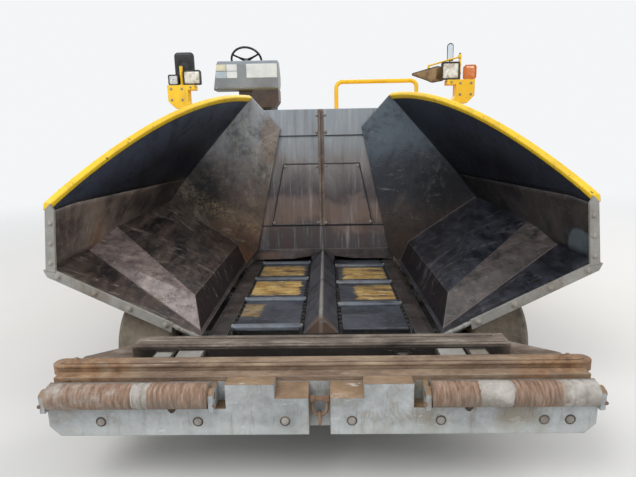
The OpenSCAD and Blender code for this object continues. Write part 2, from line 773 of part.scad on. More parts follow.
// Rear wall, in the plane of the hopper's back
module wing_rear_wall() {
    tab = turn([cyl_eye[0] - hinge_x, cyl_eye[1] - hinge_z], -wing_rest);
    foot = foot_at(1);
    along_y(y_hop1 - 2, y_hop1 + wing_t) union() {
        polygon([[-80, 188], [-77, 1270], wing_edge[1] + [5, 8], wing_crease[1] + [wing_t, 0],
            foot + [wing_t, -5], wing_inner - [1, wing_t + 5], wing_inner + [-1, 1]]);
        translate(tab) circle(34);
        polygon([tab + [-60, 160], tab + [60, 190], tab + [34, 0], tab + [-34, 0]]);
    }
    bar_y(cyl_y - 50, y_hop1 + 1, tab[0], tab[1], cyl_pin_r);
}

// Strips on the front edge
module wing_strips() {
    strip = 55;
    inner = 150;
    along_y(y_hop0 - wing_t, y_hop0 + 1) {
        polygon([[inner, floor_at(inner) - strip], [inner, floor_at(inner) - 2],
            [wing_reach, floor_at(wing_reach) - 2], [wing_reach, floor_at(wing_reach) - strip]]);
        polygon([foot_at(0) - [40, 6], foot_at(0) + [14, -6], wing_edge[0] + [14, 2],
            wing_edge[0] + [-40, 2]]);
    }
    // Round bar between the strip and the hinge
    bar_between([-8, y_hop0 - 3, floor_at(-8) - 15], [inner + 4, y_hop0 - 3, floor_at(inner + 4) - 15], 11);
}

// Ribs on the outside of the outer wall
module wing_ribs() {
    rise = 42;
    for (u = wing_rib_at) {
        q = section(u);
        low = unit(q[1] - q[0]);
        high = unit(q[2] - q[1]);
        out_low = [low[1], -low[0]];
        out_high = [high[1], -high[0]];
        bend = unit(out_low + out_high);
        foot = q[0] + 30 * low;
        edge = q[2] - 70 * high;
        along_y(wing_y(u) - 5, wing_y(u) + 5) polygon([
            foot + 5 * out_low, foot + 40 * low + (rise + wing_t) * out_low,
            q[1] + (rise + wing_t) * bend, edge - 40 * high + (rise + wing_t) * out_high,
            edge + 5 * out_high, q[1] + 5 * bend]);
    }
}

module wing_lugs() {
    for (s = hinge_stations) {
        along_y(y_hop0 + s - lug_w / 2, y_hop0 + s + lug_w / 2) difference() {
            union() {
                circle(44);
                polygon([[-40, 10], wing_inner - [0, 6], [house_in + 60, floor_at(house_in + 60) - 6],
                    [44, 0]]);
                if (s < house_foot[0][1] + 60) polygon([[0, 20], [0, 60],
                    [240, floor_at(240) - 6], [240, floor_at(240) - 30], [44, 0]]);
            }
            circle(hinge_pin_r + pin_gap);
        }
    }
}

module wing(s) {
    color("goldenrod") side(s) raised_wing() {
        wing_walls();
        wing_floor();
        wheel_house();
        wing_rear_wall();
        wing_strips();
        wing_ribs();
        wing_lugs();
    }
}

// Wing cylinders, from the frame to the tab on the rear wall
cyl_eye = [1100, 560];
barrel_len = 330;
cyl_r = 30;
rod_len = 300;
rod_r = 16;
cyl_w = 44;

module wing_barrel(s) {
    d = cyl_eye - cyl_base;
    color("darkgray") side(s) translate([cyl_base[0], cyl_y, cyl_base[1]])
        rotate([0, 90 - atan2(d[1], d[0]), 0]) difference() {
            union() {
                cylinder(h = barrel_len, r = cyl_r);
                bar_y(-cyl_w / 2, cyl_w / 2, 0, 0, 28);
            }
            bar_y(-cyl_w, cyl_w, 0, 0, cyl_pin_r + pin_gap);
            translate([0, 0, 40]) cylinder(h = barrel_len, r = rod_r + pin_gap);
        }
}

module wing_rod(s) {
    d = cyl_eye - cyl_base;
    color("silver") side(s) translate([cyl_eye[0], cyl_y, cyl_eye[1]])
        rotate([0, 90 - atan2(d[1], d[0]), 0]) difference() {
            union() {
                translate([0, 0, -rod_len]) cylinder(h = rod_len, r = rod_r);
                bar_y(-cyl_w / 2, cyl_w / 2, 0, 0, 28);
            }
            bar_y(-cyl_w, cyl_w, 0, 0, cyl_pin_r + eye_gap);
        }
}

// Engine bay: a hollow hood on the frame, open at its sides behind the doors
door_y = [65, 960];
door_z = [1000, 1560];
door_hinge = [35, -20];
door_columns = [150, 490];
door_rows = [for (k = [0:7]) door_z[0] + 90 + 48 * k];
louvre_len = 290;
arch_back = 190;

module bay_outline(inset) {
    round_r = 70;
    polygon(concat([[y_bay0 + inset, frame_top + inset], [y_bay1 - arch_back, frame_top + inset],
        [y_bay1 - inset, frame_top + 230 + inset / 2]],
        arc([y_bay1 - round_r, bay_top - round_r], round_r - inset, 0, 90),
        arc([y_bay0 + round_r, bay_top - round_r], round_r - inset, 90, 180)));
}

// Pressed louvres on the hood
module hood_louvres() {
    for (x = [-720, 200], k = [0:7]) {
        along_x(x, x + 420) translate([y_bay0 + 190 + 52 * k, bay_top - 1])
            polygon([[0, 0], [34, 0], [34, 11]]);
    }
}

module engine_bay() {
    color("goldenrod") {
        difference() {
            along_x(-bay_half, bay_half) bay_outline(0);
            along_x(-bay_half + sheet_t, bay_half - sheet_t) bay_outline(sheet_t);
            block([-bay_half - 1, bay_half + 1], [y_bay0 + door_y[0] + 30, y_bay0 + door_y[1] - 30],
                [door_z[0] + 30, door_z[1] - 30]);
            block([-frame_in + 10, frame_in - 10], [y_bay0 + 60, y_bay1 - arch_back - 60],
                [frame_top - 1, frame_top + sheet_t + 1]);
        }
        hood_louvres();
        // Pins of the doors
        both() for (z = [door_z[0] + 90, door_z[1] - 170]) {
            block([bay_half - 1, bay_half + door_hinge[0] + 10], [y_bay0 + door_y[0] + door_hinge[1] - 12,
                y_bay0 + door_y[0] + door_hinge[1] + 12], [z - 16, z]);
            bar_z(z - 8, z + 74, bay_half + door_hinge[0], y_bay0 + door_y[0] + door_hinge[1], 8);
        }
    }
    // Exhaust stub on the hood
    color("dimgray") difference() {
        bar_z(bay_top - 1, bay_top + 140, -420, y_bay0 + 500, 55);
        bar_z(bay_top + 40, bay_top + 150, -420, y_bay0 + 500, 47);
    }
}

module engine_door(s) {
    hx = bay_half + door_hinge[0];
    hy = y_bay0 + door_y[0] + door_hinge[1];
    color("gold") side(s) difference() {
        union() {
            block([bay_half + 6, bay_half + 30], [y_bay0 + door_y[0], y_bay0 + door_y[1]], door_z);
            for (z = [door_z[0] + 94, door_z[1] - 166]) {
                bar_z(z, z + 60, hx, hy, 14);
                block([bay_half + 6, bay_half + 24], [hy, hy + 30], [z, z + 60]);
            }
            for (y = door_columns, z = door_rows) louvre_hood(y, z);
            // Latch
            block([bay_half + 29, bay_half + 40], [y_bay0 + door_y[1] - 90, y_bay0 + door_y[1] - 40],
                [(door_z[0] + door_z[1]) / 2 - 30, (door_z[0] + door_z[1]) / 2 + 30]);
        }
        for (z = [door_z[0] + 94, door_z[1] - 166]) bar_z(z - 1, z + 61, hx, hy, 8 + pin_gap);
        for (y = door_columns, z = door_rows) {
            block([bay_half + 5, bay_half + 31], [y_bay0 + y + 6, y_bay0 + y + louvre_len - 6], [z, z + 14]);
        }
    }
}

// Hood of a louvre on the door, over its slot
module louvre_hood(y, z) {
    difference() {
        along_y(y_bay0 + y, y_bay0 + y + louvre_len) polygon([[bay_half + 29, z - 4],
            [bay_half + 44, z - 4], [bay_half + 44, z + 4], [bay_half + 29, z + 26]]);
        along_y(y_bay0 + y + 6, y_bay0 + y + louvre_len - 6) polygon([[bay_half + 28, z - 5],
            [bay_half + 40, z - 5], [bay_half + 40, z + 3], [bay_half + 28, z + 20]]);
    }
}

engine_half = 400;
engine_room = [200, 280];
engine_under = 200;

module engine_block() {
    color("gray") block([-engine_half, engine_half], [y_bay0 + engine_room[0], y_bay1 - engine_room[1]],
        [frame_mid, bay_top - engine_under]);
}

// Housing between the rear wheels, with the hydraulic tank and the pumps
module rear_body() {
    color("darkslategray") {
        block([-frame_in, frame_in], [y_bay1, y_plat1 - 60], [frame_mid, deck_top - 60]);
        // Cover panels on its sides and back
        both() for (y = [y_bay1 + 40, y_plat1 - 480]) {
            along_x(frame_in - 1, frame_in + 8) soft_square([y, y + 380], [frame_mid + 130, deck_top - 110], 30);
        }
        along_y(y_plat1 - 61, y_plat1 - 50) difference() {
            soft_square([-120, frame_in - 60], [frame_mid + 60, deck_top - 120], 30);
            for (z = [frame_mid + 180 : 40 : deck_top - 240]) translate([20, z]) square([380, 14]);
        }
        // Fuel tank and battery box beside the frame
        both() {
            along_x(frame_out + seat_gap, arm_in - 40)
                soft_square([y_tow + 140, y_tow + 520], [tow_z + 120, frame_top], 30);
            for (y = [y_tow + 220, y_tow + 420]) {
                along_x(frame_out + 40, arm_in - 34) translate([y, tow_z + 114]) square([36, 40]);
            }
        }
    }
}

// Operator's deck
lift_y = y_bay1 + lift_back;
lift_top = deck_top - 75;
step_gap = 14;
step_z = [for (k = [1:3]) deck_top - 20 - 240 * k];
step_x = [-560, -180];
lift_x = arm_in + arm_t / 2;
lift_pin_r = 15;

module operator_deck() {
    color("dimgray") {
        block([-platform_half, platform_half], [y_bay1, y_plat1], [deck_top - 40, deck_top]);
        block([-frame_in, frame_in], [y_bay1, y_plat1 - 60], [deck_top - 60, deck_top - 39]);
        both() {
            // Skirts and low side boxes
            block([platform_half - 20, platform_half], [y_bay1, lift_y - 80], [deck_top - 120, deck_top]);
            along_x(platform_half - 240, platform_half) polygon([[y_bay1 + 60, deck_top - 1],
                [y_bay1 + 60, deck_top + 240], [y_bay1 + 120, deck_top + 290],
                [y_bay1 + 560, deck_top + 290], [y_bay1 + 620, deck_top + 240],
                [y_bay1 + 620, deck_top - 1]]);
            // Eyes of the lift cylinders
            for (x = [arm_in - 6, arm_in + arm_t - 6]) {
                along_x(x, x + 12) difference() {
                    union() {
                        translate([lift_y, lift_top]) circle(32);
                        translate([lift_y - 32, lift_top]) square([64, deck_top - lift_top - 30]);
                    }
                }
            }
            bar_x(arm_in - 10, arm_in + arm_t + 10, lift_y, lift_top, lift_pin_r);
        }
        // Steps behind
        for (x = [step_x[0], step_x[1] - 20]) {
            block([x, x + 20], [y_plat1 + step_gap, y_plat1 + 40], [step_z[0], deck_top - 20]);
            block([x, x + 20], [y_plat1 - 1, y_plat1 + 40], [deck_top - 40, deck_top - 20]);
        }
        for (z = step_z) difference() {
            block(step_x, [y_plat1 + step_gap, y_plat1 + 130], [z, z + 20]);
            for (x = [step_x[0] + 30 : 60 : step_x[1] - 60]) block([x, x + 36], [y_plat1 + step_gap + 50, y_plat1 + 115], [z - 1, z + 21]);
        }
    }
}

// Console with its column
console_y = y_bay1 + console_back;
console_over = 365;
console_x = [-driver_x - console_w + console_over, -driver_x + console_over];
console_low = console_top - 295;
under_w = 305;
under_deep = 185;

module console() {
    color("dimgray") {
        // Housing with rounded front edges and the instrument panel sloping to the driver
        intersection() {
            along_x(console_x[0], console_x[1]) polygon(concat(
                arc([console_y - 120, console_low + 30], 30, 180, 270),
                [[console_y + 60, console_low], [console_y + 180, console_low + 70],
                    [console_y + 180, console_top - 140], [console_y + 40, console_top]],
                arc([console_y - 110, console_top - 40], 40, 90, 180)));
            along_y(console_y - 151, console_y + 181) polygon([[console_x[0], console_low - 1],
                [console_x[0] + 50, console_top + 1], [console_x[1] + 1, console_top + 1],
                [console_x[1] + 1, console_low - 1]]);
        }
        // Body hanging below it
        along_y(console_y - 130, console_y + 120) polygon([[console_x[1] - under_w, console_low - under_deep],
            [console_x[1] - under_w + 30, console_low + 1], [console_x[1] + 1, console_low + 1],
            [console_x[1] + 1, console_low - under_deep + 60], [console_x[1] - 45, console_low - under_deep]]);
        block([-driver_x - 70, -driver_x + 90], [console_y - 90, console_y + 50],
            [deck_top, console_low + 1]);
        // Column of the steering wheel
        translate(steer_at) rotate([-steer_tilt, 0, 0]) translate([0, 0, -120])
            cylinder(h = 120 - hub_under - pin_gap, r = 24);
    }
}

// Steering wheel on its column
steer_at = [-driver_x - 10, console_y + 165, console_top + 50];
hub_under = 26;

module steering_wheel() {
    color("black") translate(steer_at) rotate([-steer_tilt, 0, 0]) {
        rotate_extrude() translate([steer_r - 13, 0]) circle(13);
        translate([0, 0, -hub_under]) cylinder(h = hub_under + 6, r = 32);
        for (a = [90, 210, 330]) rotate([0, 0, a]) translate([0, -12, -12]) cube([steer_r - 13, 24, 12]);
    }
}

seat_y = y_bay1 + seat_back;
seat_z = seat_top - 460;

module seat_base() {
    color("dimgray") {
        // Pedestal with a flared foot
        along_x(-driver_x - 160, -driver_x + 160) polygon([for (p = [[-180, deck_top],
            [-180, deck_top + 30], [-130, deck_top + 60], [-160, seat_z - 39], [160, seat_z - 39],
            [130, deck_top + 60], [180, deck_top + 30], [180, deck_top]]) p + [seat_y, 0]]);
        along_x(-driver_x - 230, -driver_x + 230) polygon([for (p = [[-200, -41], [-200, 0], [225, 0],
            [225, 93], [242, 93], [280, 310], [295, 310], [260, -41]]) p + [seat_y, seat_z]]);
    }
}

module seat_cushions() {
    color("black") {
        along_x(-driver_x - 235, -driver_x + 235) polygon([for (p = [[-230, 30], [-210, seat_gap],
            [220, seat_gap], [220, 90], [-180, 110], [-220, 90]]) p + [seat_y, seat_z]]);
        along_x(-driver_x - 225, -driver_x + 225) polygon([for (p = [[140, 96], [239, 94],
            [302, 430], [280, 460], [230, 460], [210, 430]]) p + [seat_y, seat_z]]);
    }
}

// Yellow tube rail on the hood
rail_r = 20;

module handrails() {
    bend_r = 60;
    rail_z = bay_top + rail_rise;
    rail_x = [150, bay_half - 210];
    rail_y = y_bay0 + 780;
    color("gold") {
        for (x = rail_x) {
            bar_z(bay_top, rail_z - bend_r, x, rail_y, rail_r);
            bar_z(bay_top, bay_top + 10, x, rail_y, 45);
        }
        bar_x(rail_x[0] + bend_r, rail_x[1] - bend_r, rail_y, rail_z, rail_r);
        for (k = [0, 1]) {
            translate([rail_x[k] + (k == 0 ? bend_r : -bend_r), rail_y, rail_z - bend_r])
                rotate([90, 0, 0]) rotate([0, 0, k == 0 ? 90 : 0])
                rotate_extrude(angle = 90) translate([bend_r, 0]) circle(rail_r);
        }
    }
}

// Lamp posts at the front corners of the engine bay
post_y = [50, 130];
lamp_shelf = bay_top + 350;
post_top = lamp_shelf - 191;

// Post on the hood's corner: a column and, outwards, a box with a flange along its top
module lamp_post(outer, neck) {
    flange = 90;
    along_y(y_bay0 + 72, y_bay0 + post_y[1]) polygon([[bay_half - 60, bay_top], [bay_half, bay_top],
        [bay_half + 40, post_top + 10], [bay_half - 60, post_top + 10]]);
    along_y(y_bay0 + post_y[0] - 20, y_bay0 + post_y[1]) polygon([[bay_half - 60, post_top],
        [bay_half + outer - 60, post_top], [bay_half + outer, post_top + 60], [bay_half + outer, lamp_shelf],
        [bay_half - flange, lamp_shelf], [bay_half - flange, lamp_shelf - 40],
        [bay_half - neck, lamp_shelf - 40], [bay_half - neck, post_top + 60]]);
}

module lamp_posts() {
    color("gold") {
        lamp_post(140, 16);
        mirror([1, 0, 0]) lamp_post(141, 31);
        // Marker rod between the right-hand lamps
        bar_z(lamp_shelf - 1, lamp_shelf + 156, -bay_half - 24, y_bay0 + post_y[0] + 18, 14);
    }
}

// Lamp on the shelf: a housing with a raised bezel round its lens
module lamp(x, high, deep) {
    y = y_bay0 + post_y[0];
    bezel = 9;
    along_y(y - 10, y + deep) soft_square(x, [0, high], 14);
    along_y(y - 18, y - 9) difference() {
        soft_square(x, [0, high], 14);
        soft_square([x[0] + bezel, x[1] - bezel], [bezel, high - bezel], 8);
    }
}

module lamps() {
    color("white") {
        translate([-bay_half, 0, lamp_shelf]) {
            lamp([-4, 146], 120, 46);
            lamp([-130, -44], 86, 50);
        }
        translate([bay_half, 0, lamp_shelf]) lamp([-138, 12], 142, 46);
    }
    color("orange") translate([bay_half, 0, lamp_shelf]) lamp([45, 150], 116, 40);
}

// Mirrors: a square one on the right-hand side, and on the left-hand side a leaf shaped one and a
// slim one on the arm of a pole
module mirrors() {
    y = y_bay0 + post_y[1];
    arm = [[30, 191], [-226, 127]];
    color("black") {
        translate([-bay_half, 0, lamp_shelf]) {
            along_y(y - 30, y) soft_square([-90, 79], [10, 274], 30);
            bar_z(0, 40, -10, y - 15, 11);
        }
        translate([bay_half, 0, lamp_shelf]) {
            along_y(y + 1, y + 26) polygon(concat(arc([-356, 60], 12, 110, 250),
                arc([-185, 62], 74, 235, 290), arc([-150, 54], 70, -50, 105)));
            along_y(y - 6, y + 8) polygon(concat(arc([-50, 277], 27, -10, 190), [[-74, 160], [-24, 160]]));
        }
    }
    color("gold") translate([bay_half, 0, lamp_shelf]) {
        bar_z(0, 222, arm[0][0], y - 14, 11);
        bar_between([arm[0][0], y - 14, arm[0][1]], [arm[1][0], y + 13, arm[1][1]], 7);
        bar_z(90, arm[1][1] + 12, arm[1][0], y + 13, 9);
    }
}

// Hangers and gear case of the augers
hanger_in = auger_out + 12;
hanger_t = 20;
cross_top = 640;

module auger_case() {
    beam_z = [560, cross_top];
    color("dimgray") difference() {
        union() {
            block([-hanger_in - hanger_t, hanger_in + hanger_t], [y_plat1 + 10, y_plat1 + 90], beam_z);
            block([-200, 200], [y_plat1, y_plat1 + 12], [560, frame_mid]);
            // Gear case in the middle
            along_y(y_aug - 90, y_aug + 90) polygon([[-70, 200], [-70, 430], [-45, 460], [45, 460],
                [70, 430], [70, 200], [50, 180], [-50, 180]]);
            block([-45, 45], [y_plat1 + 30, y_aug + 60], [459, beam_z[1]]);
            both() along_x(hanger_in, hanger_in + hanger_t) union() {
                translate([y_aug, auger_z]) circle(60);
                polygon([[y_plat1 + 10, beam_z[0]], [y_plat1 + 10, beam_z[1]],
                    [y_plat1 + 110, beam_z[1]], [y_aug + 58, auger_z + 10], [y_aug - 58, auger_z - 10]]);
            }
        }
        both() {
            bar_x(hanger_in - 1, hanger_in + hanger_t + 1, y_aug, auger_z, 24 + pin_gap);
            bar_x(40, 71, y_aug, auger_z, 24 + pin_gap);
        }
    }
}

// Auger: a helical flight on its shaft, feeding outwards
module auger(s) {
    x0 = 84;
    steps = 24;
    turns = (auger_out - x0 - 20) / auger_pitch;
    n = ceil(turns * steps);
    t = 14;
    core = 40;
    pts = [for (i = [0:n]) let (a = 360 * turns * i / n, x = x0 + 10 + (auger_out - x0 - 20 - t) * i / n)
        each [for (q = [[core - 4, x], [auger_r, x], [auger_r, x + t], [core - 4, x + t]])
            [q[1], q[0] * cos(a), q[0] * sin(a)]]];
    sides = [for (i = [0:n - 1], k = [0:3]) let (a = 4 * i + k, b = 4 * i + (k + 1) % 4)
        each [[a, b, b + 4], [a, b + 4, a + 4]]];
    color("dimgray") side(s) translate([0, y_aug, auger_z]) {
        polyhedron(pts, concat(sides, [[3, 2, 1, 0], [4 * n, 4 * n + 1, 4 * n + 2, 4 * n + 3]]),
            convexity = 10);
        bar_x(x0, auger_out, 0, 0, core);
        bar_x(44, hanger_in + hanger_t + 4, 0, 0, 24);
    }
}

// Tow arms, from the tow points to the screed
module tow_arms() {
    foot = [y_scr0 + 60, y_scr0 + 330];
    color("gold") both() {
        along_x(arm_in, arm_in + arm_t) difference() {
            union() {
                translate([y_tow, tow_z]) circle(80);
                polygon([[y_tow, tow_z - 80], [y_tow, tow_z + 80], [foot[1] - 60, tow_z + 80],
                    [foot[1], tow_z + 20], [foot[1], screed_top], [foot[0], screed_top],
                    [foot[0] - 60, tow_z - 60]]);
            }
            translate([y_tow, tow_z]) circle(tow_pin_r + pin_gap);
        }
        // Depth screw with its cross handle at the screed's end
        bar_z(tow_z + 79, tow_z + 340, lift_x, foot[0] + 90, 20);
        bar_z(tow_z + 79, tow_z + 150, lift_x, foot[0] + 90, 32);
        bar_x(lift_x - 95, lift_x + 95, foot[0] + 90, tow_z + 325, 10);
        // Eyes of the lift cylinders
        for (x = [arm_in, arm_in + arm_t - 12]) along_x(x, x + 12) union() {
            translate([lift_y, rod_eye_z]) circle(30);
            translate([lift_y - 30, tow_z + 79]) square([60, rod_eye_z - tow_z - 79]);
        }
        bar_x(arm_in, arm_in + arm_t, lift_y, rod_eye_z, lift_pin_r);
    }
}

// Lift cylinders of the screed
rod_eye_z = 720;
lift_barrel_len = 400;
lift_rod_len = 375;
lift_r = 26;
lift_rod_r = 16;
lift_w = 50;

module lift_barrel(s) {
    color("darkgray") side(s) difference() {
        union() {
            bar_z(lift_top - lift_barrel_len, lift_top, lift_x, lift_y, lift_r);
            bar_x(lift_x - lift_w / 2, lift_x + lift_w / 2, lift_y, lift_top, 28);
        }
        bar_x(lift_x - lift_w, lift_x + lift_w, lift_y, lift_top, lift_pin_r + pin_gap);
        bar_z(lift_top - lift_barrel_len - 1, lift_top - 45, lift_x, lift_y, lift_rod_r + pin_gap);
    }
}

module lift_rod(s) {
    color("silver") side(s) difference() {
        union() {
            bar_z(rod_eye_z, rod_eye_z + lift_rod_len, lift_x, lift_y, lift_rod_r);
            bar_x(lift_x - lift_w / 2, lift_x + lift_w / 2, lift_y, rod_eye_z, 28);
        }
        bar_x(lift_x - lift_w, lift_x + lift_w, lift_y, rod_eye_z, lift_pin_r + eye_gap);
    }
}

// Screed
guide_y = y_scr1 + 98;
guide_r = 60;
inner_tube_r = 45;
ext_gap = 28;

module screed_main() {
    color("darkslategray") {
        along_x(-screed_half, screed_half) polygon([[y_scr0, 25], [y_scr0, 300],
            [y_scr0 + 50, screed_top], [y_scr1 - 42, screed_top], [y_scr1, screed_top - 40],
            [y_scr1, 0], [y_scr0 + 40, 0]]);
        // Stiffening ribs on the deck, and its lifting eyes
        both() for (x = [220, 620, 1020]) {
            along_x(x, x + 12) difference() {
                polygon([[y_scr0 + 70, screed_top - 1], [y_scr0 + 110, screed_top + 46],
                    [y_scr0 + 190, screed_top + 46], [y_scr0 + 250, screed_top - 1]]);
                translate([y_scr0 + 150, screed_top + 22]) circle(14);
            }
        }
        // Fixed guide tubes of the extensions
        both() difference() {
            union() {
                bar_x(20, screed_half - 70, guide_y, guide_z, guide_r);
                for (x = [60, screed_half - 160]) {
                    block([x, x + 40], [y_scr1 - 60, guide_y], [screed_top - 20, guide_z + 20]);
                }
            }
            bar_x(40, screed_half, guide_y, guide_z, inner_tube_r + pin_gap);
        }
    }
}

module screed_walkway() {
    top = guide_z + guide_r + 35;
    color("gold") {
        block([-screed_half + 70, screed_half - 70], [y_scr1 + 15, y_end], [top - 25, top]);
        for (x = [-720, -270, 250, 700]) {
            block([x, x + 20], [y_scr1 - 160, y_scr1 + 30], [screed_top, top - 24]);
        }
    }
}

module screed_ext(s) {
    y0 = y_scr1 + ext_gap;
    gate_in = screed_half + 6;
    color("goldenrod") side(s) {
        along_x(15, gate_in + 1) polygon([[y0, 25], [y0, ext_top - 30], [y0 + 30, ext_top],
            [y0 + ext_depth - 60, ext_top], [y0 + ext_depth, ext_top - 80], [y0 + ext_depth, 0],
            [y0 + 40, 0]]);
        bar_x(90, gate_in + 1, guide_y, guide_z, inner_tube_r);
        along_x(gate_in - 40, gate_in + 1) polygon([[guide_y - 55, ext_top - 20],
            [guide_y - 55, guide_z + 40], [guide_y + 55, guide_z + 40], [guide_y + 120, ext_top - 20]]);
        // End gate
        along_x(gate_in, gate_in + 16) polygon([[y_scr0 + 60, 0], [y_scr0 + 20, 40], [y_scr0 + 20, 300],
            [y_scr0 + 120, 400], [y0 + 60, 490], [guide_y + 60, 490], [y0 + ext_depth, 380],
            [y0 + ext_depth, 0]]);
    }
}

main_frame();
push_beam();
front_deck();
tow_shackle();
hopper_floor();
conveyors();
bulkhead();
flow_gate(1);  // flow_gate_l
flow_gate(-1);  // flow_gate_r
bogies();
final_drives();
engine_bay();
engine_block();
rear_body();
operator_deck();
console();
seat_base();
seat_cushions();
handrails();
lamp_posts();
lamps();
mirrors();
auger_case();
wing(1);  // wing_l
wing(-1);  // wing_r
wing_barrel(1);  // wing_barrel_l
wing_barrel(-1);  // wing_barrel_r
wing_rod(1);  // wing_rod_l
wing_rod(-1);  // wing_rod_r
knuckle(1, y_axle_1);  // knuckle_1_l
knuckle(-1, y_axle_1);  // knuckle_1_r
knuckle(1, y_axle_2);  // knuckle_2_l
knuckle(-1, y_axle_2);  // knuckle_2_r
front_wheel(1, y_axle_1);  // front_wheel_1_l
front_wheel(-1, y_axle_1);  // front_wheel_1_r
front_wheel(1, y_axle_2);  // front_wheel_2_l
front_wheel(-1, y_axle_2);  // front_wheel_2_r
rear_wheel(1);  // rear_wheel_l
rear_wheel(-1);  // rear_wheel_r
push_roller(1);  // push_roller_l
push_roller(-1);  // push_roller_r
engine_door(1);  // engine_door_l
engine_door(-1);  // engine_door_r
steering_wheel();
auger(1);  // auger_l
auger(-1);  // auger_r
tow_arms();
screed_main();
screed_walkway();
screed_ext(1);  // screed_ext_l
screed_ext(-1);  // screed_ext_r
lift_barrel(1);  // lift_barrel_l
lift_barrel(-1);  // lift_barrel_r
lift_rod(1);  // lift_rod_l
lift_rod(-1);  // lift_rod_r
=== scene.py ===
# Looks of a wheeled asphalt paver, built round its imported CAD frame. Metres, ground at Z = 0, +Z up.
# The front faces -Y, and +X is the machine's left-hand side, called l in the names.
import math
import random

import bpy
from mathutils import Matrix, Vector
from mathutils.bvhtree import BVHTree


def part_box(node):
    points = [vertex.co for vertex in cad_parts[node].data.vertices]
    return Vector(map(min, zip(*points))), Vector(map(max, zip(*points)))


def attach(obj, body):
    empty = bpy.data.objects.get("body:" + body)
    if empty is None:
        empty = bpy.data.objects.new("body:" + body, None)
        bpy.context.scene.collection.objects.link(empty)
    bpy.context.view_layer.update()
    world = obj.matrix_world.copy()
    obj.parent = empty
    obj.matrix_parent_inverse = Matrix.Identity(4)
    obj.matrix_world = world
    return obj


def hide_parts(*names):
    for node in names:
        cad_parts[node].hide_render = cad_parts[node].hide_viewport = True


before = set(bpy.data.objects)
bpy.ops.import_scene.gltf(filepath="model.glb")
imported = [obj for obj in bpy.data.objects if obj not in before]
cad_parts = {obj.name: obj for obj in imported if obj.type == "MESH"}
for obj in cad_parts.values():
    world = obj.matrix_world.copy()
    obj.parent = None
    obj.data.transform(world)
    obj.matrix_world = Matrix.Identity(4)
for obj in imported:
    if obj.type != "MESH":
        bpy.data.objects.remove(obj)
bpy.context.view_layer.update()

# Stations along the machine, from the frame
Y_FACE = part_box("push_roller_l")[0].y + 0.05
Y_HOP0 = Y_FACE + 0.665
HOPPER_LEN = 1.605
Y_HOP1 = Y_HOP0 + HOPPER_LEN
Y_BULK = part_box("bulkhead")[0].y + 0.007
Y_BAY0, Y_BAY1 = (corner.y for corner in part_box("engine_bay"))
SIDES = (("l", False), ("r", True))


# Node trees
def rgb(code):
    """Linear colour from a written sRGB code such as "c8a030"."""
    parts = [int(code[i:i + 2], 16) / 255 for i in (0, 2, 4)]
    return tuple(c / 12.92 if c < 0.04045 else ((c + 0.055) / 1.055) ** 2.4 for c in parts) + (1,)


